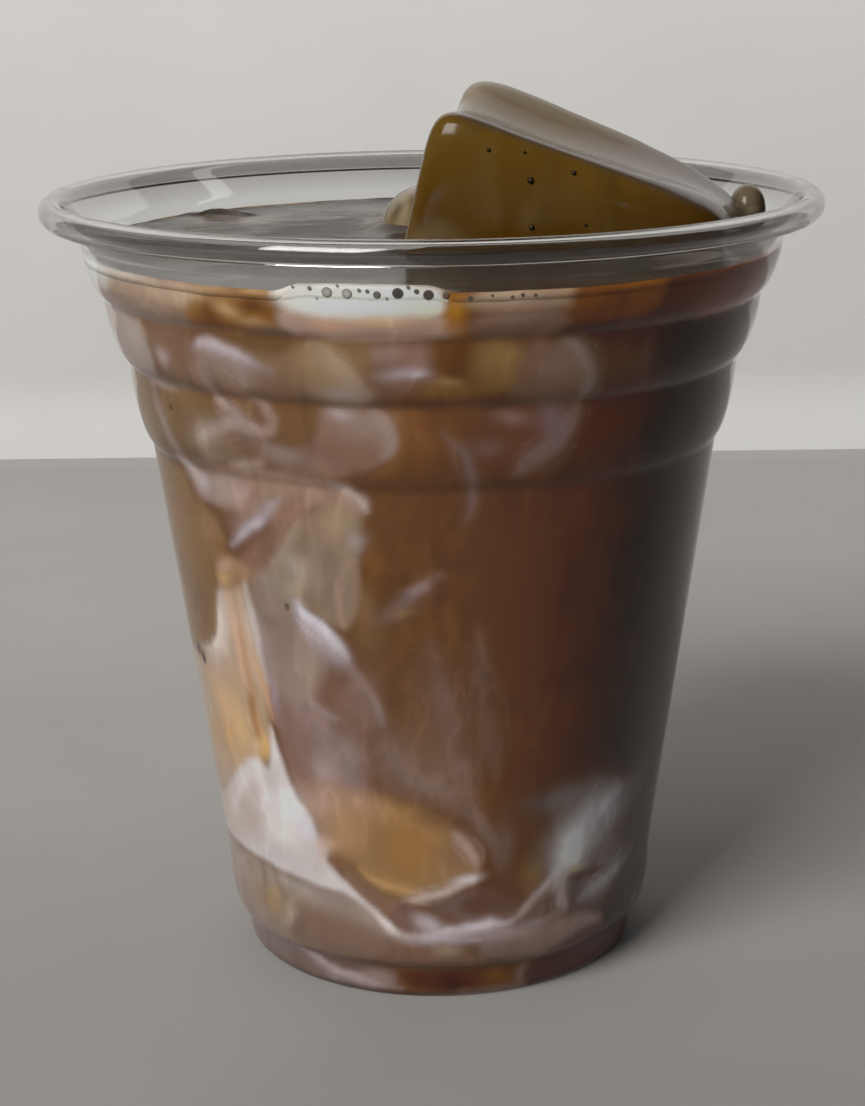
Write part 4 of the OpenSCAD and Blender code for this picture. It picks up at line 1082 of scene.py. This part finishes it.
def coffeeSurface():
    # still liquid: a low, clear gloss over streaks of milk, so the surface mirrors the wall at a grazing look
    material, tree, out = newMaterial("still_milk_coffee_surface")
    own = addNode(tree, "ShaderNodeAttribute", {"attribute_name": "surface_paint"})
    place = addNode(tree, "ShaderNodeTexCoord")
    # slow wavelets about 6 mm apart
    wave = addNode(tree, "ShaderNodeTexNoise", {"Scale": 1 / 0.006, "Detail": 2.0},
                   {"Vector": place.outputs["Object"]})
    bump = addNode(tree, "ShaderNodeBump", {"Strength": 0.25, "Distance": 0.0003},
                   {"Height": wave.outputs["Fac"]})
    body = addNode(tree, "ShaderNodeBsdfPrincipled",
                   {"Roughness": 0.16, "IOR": 1.35, "Specular IOR Level": 0.2},
                   {"Base Color": own.outputs["Color"], "Normal": bump.outputs["Normal"]})
    tree.links.new(body.outputs[0], out.inputs["Surface"])
    return material


seat(surfacePiece, coffeeSurface(), "milk_coffee")


# Froth at the front of the brim and its bubbles.

froth = dict(ends=(-24.5, 2.4), columns=90, foot=90.3, lift=0.28, inward=1.9, around=16)

bubbles = [  # angle, height, radius, tone of the middle
    (-20.6, 93.1, 0.16, "#8D8378"), (-18.0, 93.0, 0.24, "#8A8176"), (-15.4, 92.6, 0.58, "#B9B2A9"),
    (-12.4, 92.5, 0.55, "#C3BDB5"), (-10.6, 92.9, 0.22, "#978D81"), (-9.4, 92.8, 0.22, "#7C7268"),
    (-8.0, 92.4, 0.42, "#7A6F63"), (-5.0, 92.6, 0.6, "#4C443D"), (-3.5, 93.3, 0.2, "#8D8378"),
    (-2.3, 92.8, 0.27, "#6A6056"), (-0.6, 92.4, 0.56, "#4E453C"), (1.9, 92.3, 0.36, "#6E6052"),
    (-6.6, 92.0, 0.16, "#A59C92"), (-17.0, 91.9, 0.14, "#B5AEA5"), (-13.8, 93.4, 0.15, "#A59C92"),
    (5.4, 91.9, 0.3, "#6B5A48"), (11.6, 91.9, 0.2, "#6B5D4E"), (13.1, 92.1, 0.22, "#64564A"),
    (15.0, 92.0, 0.2, "#6F6254"), (8.6, 92.2, 0.15, "#7D6E5C"),
]


def frothCollar(f):
    # a lens along the wall, flat side on it: its height goes by sin(share) ^ 0.35, its foot and crown wave
    angles = np.linspace(*f["ends"], f["columns"])
    share = np.linspace(0, 1, f["columns"])
    slim = np.clip(np.sin(np.pi * share), 0, 1) ** 0.35
    ring = np.stack([np.sin(np.radians(angles)), np.cos(np.radians(angles)), 0 * angles], 1) * 43
    high = drinkLevel + brimHeight(angles) + 0.12 + 0.1 * ripple(ring, 2.2, 81)
    low = f["foot"] + 0.35 * ripple(ring, 4.5, 82)
    middle, half = (high + low) / 2, (high - low) / 2 * (0.04 + 0.96 * slim)
    a = np.linspace(0, 2 * np.pi, f["around"], endpoint=False)[None]
    z = middle[:, None] + half[:, None] * np.sin(a)
    depth = f["inward"] * slim[:, None] * (0.5 - 0.5 * np.cos(a)) ** 0.8
    uneven = ripple(np.repeat(ring, f["around"], 0), 1.5, 83).reshape(z.shape)
    r = wallRadius(z, f["lift"]) - 0.04 - depth * (1 + 0.08 * uneven)
    t = np.radians(angles)[:, None]
    grid = np.stack([r * np.sin(t), -r * np.cos(t), z], -1)
    return grid[:, ::-1], grid[0].mean(0), grid[-1].mean(0)


collarGrid, collarStart, collarEnd = frothCollar(froth)
collarPiece = makePiece("milk_froth_collar", collarGrid, collarStart, collarEnd)


def bubbleLens(angle, z, size, lift, columns=24, rings=7):
    # a flat lens against the wall, round in outline and 0.1 mm thick
    a = np.arange(columns) * 2 * np.pi / columns
    lat = np.radians(np.linspace(-78, 78, rings))[:, None]
    across = size * np.cos(lat)
    along, height = -across * np.sin(a), z + across * np.cos(a)
    r = wallRadius(height, lift) + 0.05 * np.sin(lat)
    t = np.radians(angle) + along / r
    return np.stack([r * np.sin(t), -r * np.cos(t), height], -1)


def joinRings(name, grids, paints):
    # many small closed shells in one mesh
    points, quads, fans, count = [], [], [], 0
    for grid in grids:
        shellQuads, shellFans = ringFaces(*grid.shape[:2], count)
        quads.append(shellQuads)
        fans.append(shellFans)
        points += [grid.reshape(-1, 3), grid[0].mean(0)[None], grid[-1].mean(0)[None]]
        count += grid.shape[0] * grid.shape[1] + 2
    points, quads, fans = (np.concatenate(part) for part in (points, quads, fans))
    return meshObject(name, points, quads, fans, {"own_paint": np.concatenate(paints)})


def bubbleTones(grid, code):
    # each bubble's own tone in the middle, and nearer to a dull grey brown by its rim: a painted ring, a
    # painted highlight round the dark bubbles and a darker edge on the pale ones
    rows, columns = grid.shape[:2]
    share = np.repeat(np.cos(np.radians(np.linspace(-78, 78, rows))), columns)[:, None]
    tone = linear(code) + ease(0.5, 0.82, share) * (linear("#5A5148") - linear(code)) * 0.6
    return np.concatenate([tone, [linear(code)] * 2])


shells = [bubbleLens(a, z, size, froth["lift"]) for a, z, size, _ in bubbles]
shellTones = [bubbleTones(shell, bubble[3]) for shell, bubble in zip(shells, bubbles)]
bubblePiece = joinRings("froth_bubbles", shells, shellTones)
print("froth: collar and", len(bubbles), "bubbles")


def milkFroth():
    # whipped milk: a close foam, matt white with a fine grain. Its bubbles are about 0.2 mm wide,
    # too fine to show, so the cells are drawn at 0.45 mm
    material, tree, out = newMaterial("whipped_milk_froth")
    place = addNode(tree, "ShaderNodeTexCoord")
    cells = addNode(tree, "ShaderNodeTexVoronoi", {"Scale": 1 / 0.00045}, {"Vector": place.outputs["Object"]})
    drift = addNode(tree, "ShaderNodeTexNoise", {"Scale": 1 / 0.003, "Detail": 3.0},
                    {"Vector": place.outputs["Object"]})
    tone = addNode(tree, "ShaderNodeValToRGB", {"stops": [(0.3, rgba("#CFC5B6")), (0.6, rgba("#E2DDD4"))]},
                   {"Fac": drift.outputs["Fac"]})
    bump = addNode(tree, "ShaderNodeBump", {"Strength": 0.35, "Distance": 0.0001},
                   {"Height": cells.outputs["Distance"]})
    body = addNode(tree, "ShaderNodeBsdfPrincipled",
                   {"Roughness": 0.55, "IOR": 1.35, "Subsurface Weight": 0.2, "Subsurface Scale": 0.001},
                   {"Base Color": tone.outputs["Color"], "Normal": bump.outputs["Normal"]})
    tree.links.new(body.outputs[0], out.inputs["Surface"])
    return material


def bubbleFilm():
    # air under a wet film: each bubble a small glossy lens, its tone from what lies behind it
    material, tree, out = newMaterial("wet_bubble_film")
    own = addNode(tree, "ShaderNodeAttribute", {"attribute_name": "own_paint"})
    place = addNode(tree, "ShaderNodeTexCoord")
    skin = addNode(tree, "ShaderNodeTexNoise", {"Scale": 1 / 0.0004, "Detail": 2.0},
                   {"Vector": place.outputs["Object"]})
    bump = addNode(tree, "ShaderNodeBump", {"Strength": 0.1, "Distance": 0.0001},
                   {"Height": skin.outputs["Fac"]})
    body = addNode(tree, "ShaderNodeBsdfPrincipled", {"Roughness": 0.12, "IOR": 1.33},
                   {"Base Color": own.outputs["Color"], "Normal": bump.outputs["Normal"]})
    tree.links.new(body.outputs[0], out.inputs["Surface"])
    return material


film = bubbleFilm()
seat(collarPiece, milkFroth(), "milk_coffee")
seat(bubblePiece, film, "milk_coffee")


# The ice.

def powered(wave, k):
    # the wave raised to 2 / k with its sign kept
    return np.sign(wave) * np.abs(wave) ** (2 / k)


def evenAngles(k, start, end, count):
    # angles that space the points cos ^ (2 / k), sin ^ (2 / k) evenly along their curve
    a = np.radians(np.linspace(start, end, 6001))
    line = np.stack([powered(np.cos(a), k), powered(np.sin(a), k)], 1)
    along = np.r_[0, np.cumsum(np.linalg.norm(np.diff(line, axis=0), axis=1))]
    return np.interp(np.linspace(0, along[-1], count), along, a)


def iceGrid(block, rows=110, columns=180):
    # a superellipsoid whose upper part is pushed sideways and follows a dished, drooping crown
    k = block["round"]
    ring = evenAngles(k, -90, 90, rows + 2)[1:-1, None]
    a = evenAngles(k, 0, 360, columns + 1)[None, :-1]
    s, h = powered(np.cos(ring), k), powered(np.sin(ring), k) + 0 * a
    u, v = s * powered(np.cos(a), k), s * powered(np.sin(a), k)
    hx, hy, hz = block["half"]
    blend = ((h + 1) / 2) ** 3
    rightShare, backShare = (u + 1) / 2, (v + 1) / 2
    backCorner = (1 - rightShare) ** 6 * backShare ** 6
    crown = (-block["slope"] * u - block["dish"] * (1 - 0.6 * u * u) * (1 - v * v) * (1 - 0.45 * rightShare)
             - block["roll"] * (0.1 + 0.9 * rightShare) * np.clip(1 - backShare / 0.42, 0, 1) ** 2
             + backShare * (block["rise"] - block["droop"] * rightShare ** 2)
             - block["melt"] * rightShare ** 6 + block["peak"] * backCorner)
    corner = block["push"] * backCorner * blend
    x, y, z = hx * u + block["skew"] * backShare - corner, hy * v, hz * h + blend * crown - block["sunk"]
    lean, turn = math.radians(block["lean"]), math.radians(block["turn"])
    x, z = x * math.cos(lean) + z * math.sin(lean), z * math.cos(lean) - x * math.sin(lean)
    x, y = x * math.cos(turn) - y * math.sin(turn), x * math.sin(turn) + y * math.cos(turn)
    grid = np.stack([x, y, z], -1) + np.array(block["at"])
    melt = ripple(grid.reshape(-1, 3), 5, 91).reshape(h.shape)
    middle = grid.reshape(-1, 3).mean(0)
    grid = grid + 0.10 * melt[..., None] * (grid - middle) / np.linalg.norm(grid - middle, axis=-1)[..., None]
    return grid, u, v, h


def smallIcePaint(grid, depth):
    # the small pieces: amber cream scaled down by depth, a painted shade that is deepest on the right piece,
    # with pale fold lines where a slow noise passes through 0
    flat = grid.reshape(-1, 3)
    slow = ripple(flat * (1, 1, 0.6), 5, 101)
    tone = linear("#4C3618") + ease(-0.5, 0.5, slow)[:, None] * (linear("#77613F") - linear("#4C3618"))
    fold = np.exp(-(ripple(flat * (1, 1, 0.5), 8, 103) / 0.22) ** 2)
    tone += (0.5 * fold)[:, None] * (linear("#B5A484") - tone)
    return np.clip(tone * depth, 0.002, 0.86)


def icePaint(grid, u, v, h):
    # by share of the block: dark amber olive low in front, paler up the crown as painted light through the
    # thin top, a painted grey sheen on the rolled lip, painted shade in the crease and under the lip, a back
    # corner painted pale as if lit from behind, and a painted highlight down the left edge
    flat = grid.reshape(-1, 3)
    u, v, h = u.ravel(), v.ravel(), h.ravel()
    tall = ripple(flat * (1, 1, 0.3), 4.5, 95)
    # painted light: the tone grows paler up the block, and through the cloud towards its upper left, for
    # light soaking through the thin top
    upward = ease(-0.2, 0.95, h + 0.3 * tall - 0.25 * u)[:, None]
    tone = linear("#432901") + upward * (linear("#5F4516") - linear("#432901"))
    cloud = ease(-0.1, 0.5, ripple(flat * (1, 1, 0.7), 8, 93)) * ease(-0.5, 0.5, h - 0.7 * u)
    tone += (0.7 * cloud)[:, None] * (linear("#77654A") - tone)
    streak = np.exp(-(ripple(flat * (1, 1, 0.22), 3.2, 99) / 0.2) ** 2) * ease(-0.4, 0.3, ripple(flat, 7, 89))
    tone += (0.35 * streak)[:, None] * (linear("#705C36") - tone)
    tone += (0.6 * ease(0.1, 0.9, u) * ease(0.3, 0.9, -v))[:, None] * (linear("#382104") - tone)
    amber = ease(0.1, 0.55, tall) * (1 - ease(0.2, 0.8, h))
    tone += (0.6 * amber)[:, None] * (linear("#50330A") - tone)
    shade = np.clip(-ripple(flat * (1, 1, 0.5), 7, 97) - 0.15, 0, 1)
    tone += shade[:, None] * (linear("#2A1B03") - tone)
    # painted light on the top: the crown is given a paler tone, greyer to the right as a painted sheen
    crown = ease(0.82, 0.97, h) * ease(-0.86, -0.55, v)
    right = ease(-0.5, 0.7, u)[:, None]
    tone += crown[:, None] * (linear("#7D6B54") * (1 - right) + linear("#80756E") * right - tone)
    # painted reflection: the rolled lip at the front of the top is greyed as a sheen of the pale wall
    lipSheen = ease(0.9, 0.98, h) * (1 - ease(-0.62, -0.3, v))
    tone += (0.8 * lipSheen)[:, None] * (linear("#5C514B") - tone)
    # painted shade along the crease where the lip folds down on the left
    creaseShade = ease(0.9, 0.98, h) * np.exp(-((v + 0.4) / 0.16) ** 2) * (1 - ease(-0.2, 0.9, u))
    tone += (0.6 * creaseShade)[:, None] * (linear("#463925") - tone)
    # painted shade: a dark band just under the lip along the front
    under = np.exp(-((h - 0.955) / 0.02) ** 2) * ease(0.8, 0.95, -v)
    tone += (0.7 * under)[:, None] * (linear("#3A2810") - tone)
    # painted light: the thin back-left corner of the top is paled as if lit through from behind
    backCornerLight = ease(0.4, 0.95, v) * ease(0.6, 0.97, h) * (1 - ease(-0.9, 0.6, u))
    tone += (0.7 * backCornerLight)[:, None] * (linear("#A39B8A") - tone)
    # painted highlight: a lighter olive line down the left edge, below the top, where the corner faces the
    # window light
    edge = ease(0.9, 0.99, -u) * (1 - ease(0.5, 0.9, h))
    tone += (0.5 * edge)[:, None] * (linear("#6E5930") - tone)
    return np.clip(tone, 0.002, 0.86)


def coffeeIce():
    # ice steeped in milk coffee: a wet clear gloss over a cloudy amber body that light soaks into
    material, tree, out = newMaterial("melting_coffee_ice")
    own = addNode(tree, "ShaderNodeAttribute", {"attribute_name": "ice_paint"})
    place = addNode(tree, "ShaderNodeTexCoord")
    melt = addNode(tree, "ShaderNodeTexNoise", {"Scale": 1 / 0.004, "Detail": 2.0},
                   {"Vector": place.outputs["Object"]})
    bump = addNode(tree, "ShaderNodeBump", {"Strength": 0.2, "Distance": 0.0002},
                   {"Height": melt.outputs["Fac"]})
    body = addNode(tree, "ShaderNodeBsdfPrincipled",
                   {"Roughness": 0.14, "IOR": 1.31, "Subsurface Weight": 0.1, "Subsurface Scale": 0.002,
                    "Subsurface Radius": (1.0, 0.7, 0.35)},
                   {"Base Color": own.outputs["Color"], "Normal": bump.outputs["Normal"]})
    tree.links.new(body.outputs[0], out.inputs["Surface"])
    return material


iceSurface = coffeeIce()
for label, block in ice.items():
    grid, u, v, h = iceGrid(block)
    if label == "large":
        tones, iceFront = icePaint(grid, u, v, h), grid[v < -0.9]
    else:
        tones = smallIcePaint(grid, block["depth"])
    tones = np.concatenate([tones, tones[:1], tones[-1:]])
    piece = makePiece(f"ice_{label}_block", grid, grid[0].mean(0), grid[-1].mean(0), {"ice_paint": tones})
    seat(piece, iceSurface, "ice", f"ice_{label}")
print("ice: three pieces")

iceBubbles = [  # place across and height on the front face, radius
    (6.87, 105.2, 0.28), (11.11, 104.9, 0.2), (11.81, 101.62, 0.42),
    (16.9, 102.5, 0.3), (11.93, 96.06, 0.36), (18.34, 96.34, 0.22),
]


def sphere(middle, size, rows=12, columns=20):
    # rings of radius cos(latitude) at height sin(latitude), times its size
    lat = np.radians(np.linspace(-82, 82, rows))
    angles = np.arange(columns) * 360 / columns
    return turned(np.stack([np.cos(lat), np.sin(lat)], 1), angles) * size + np.array(middle)


def faceDepth(x, z):
    # how far forward the large block's front is at a place seen from the front
    return iceFront[np.argmin(np.hypot(iceFront[:, 0] - x, iceFront[:, 2] - z)), 1]


beads = [sphere((x, faceDepth(x, z) + 0.1 * size, z), size) for x, z, size in iceBubbles]
beadTones = [np.tile(linear("#2A1D0C"), (bead.shape[0] * bead.shape[1] + 2, 1)) for bead in beads]
beadPiece = joinRings("ice_bubbles", beads, beadTones)
seat(beadPiece, film, "ice")
print("ice bubbles:", len(beads))
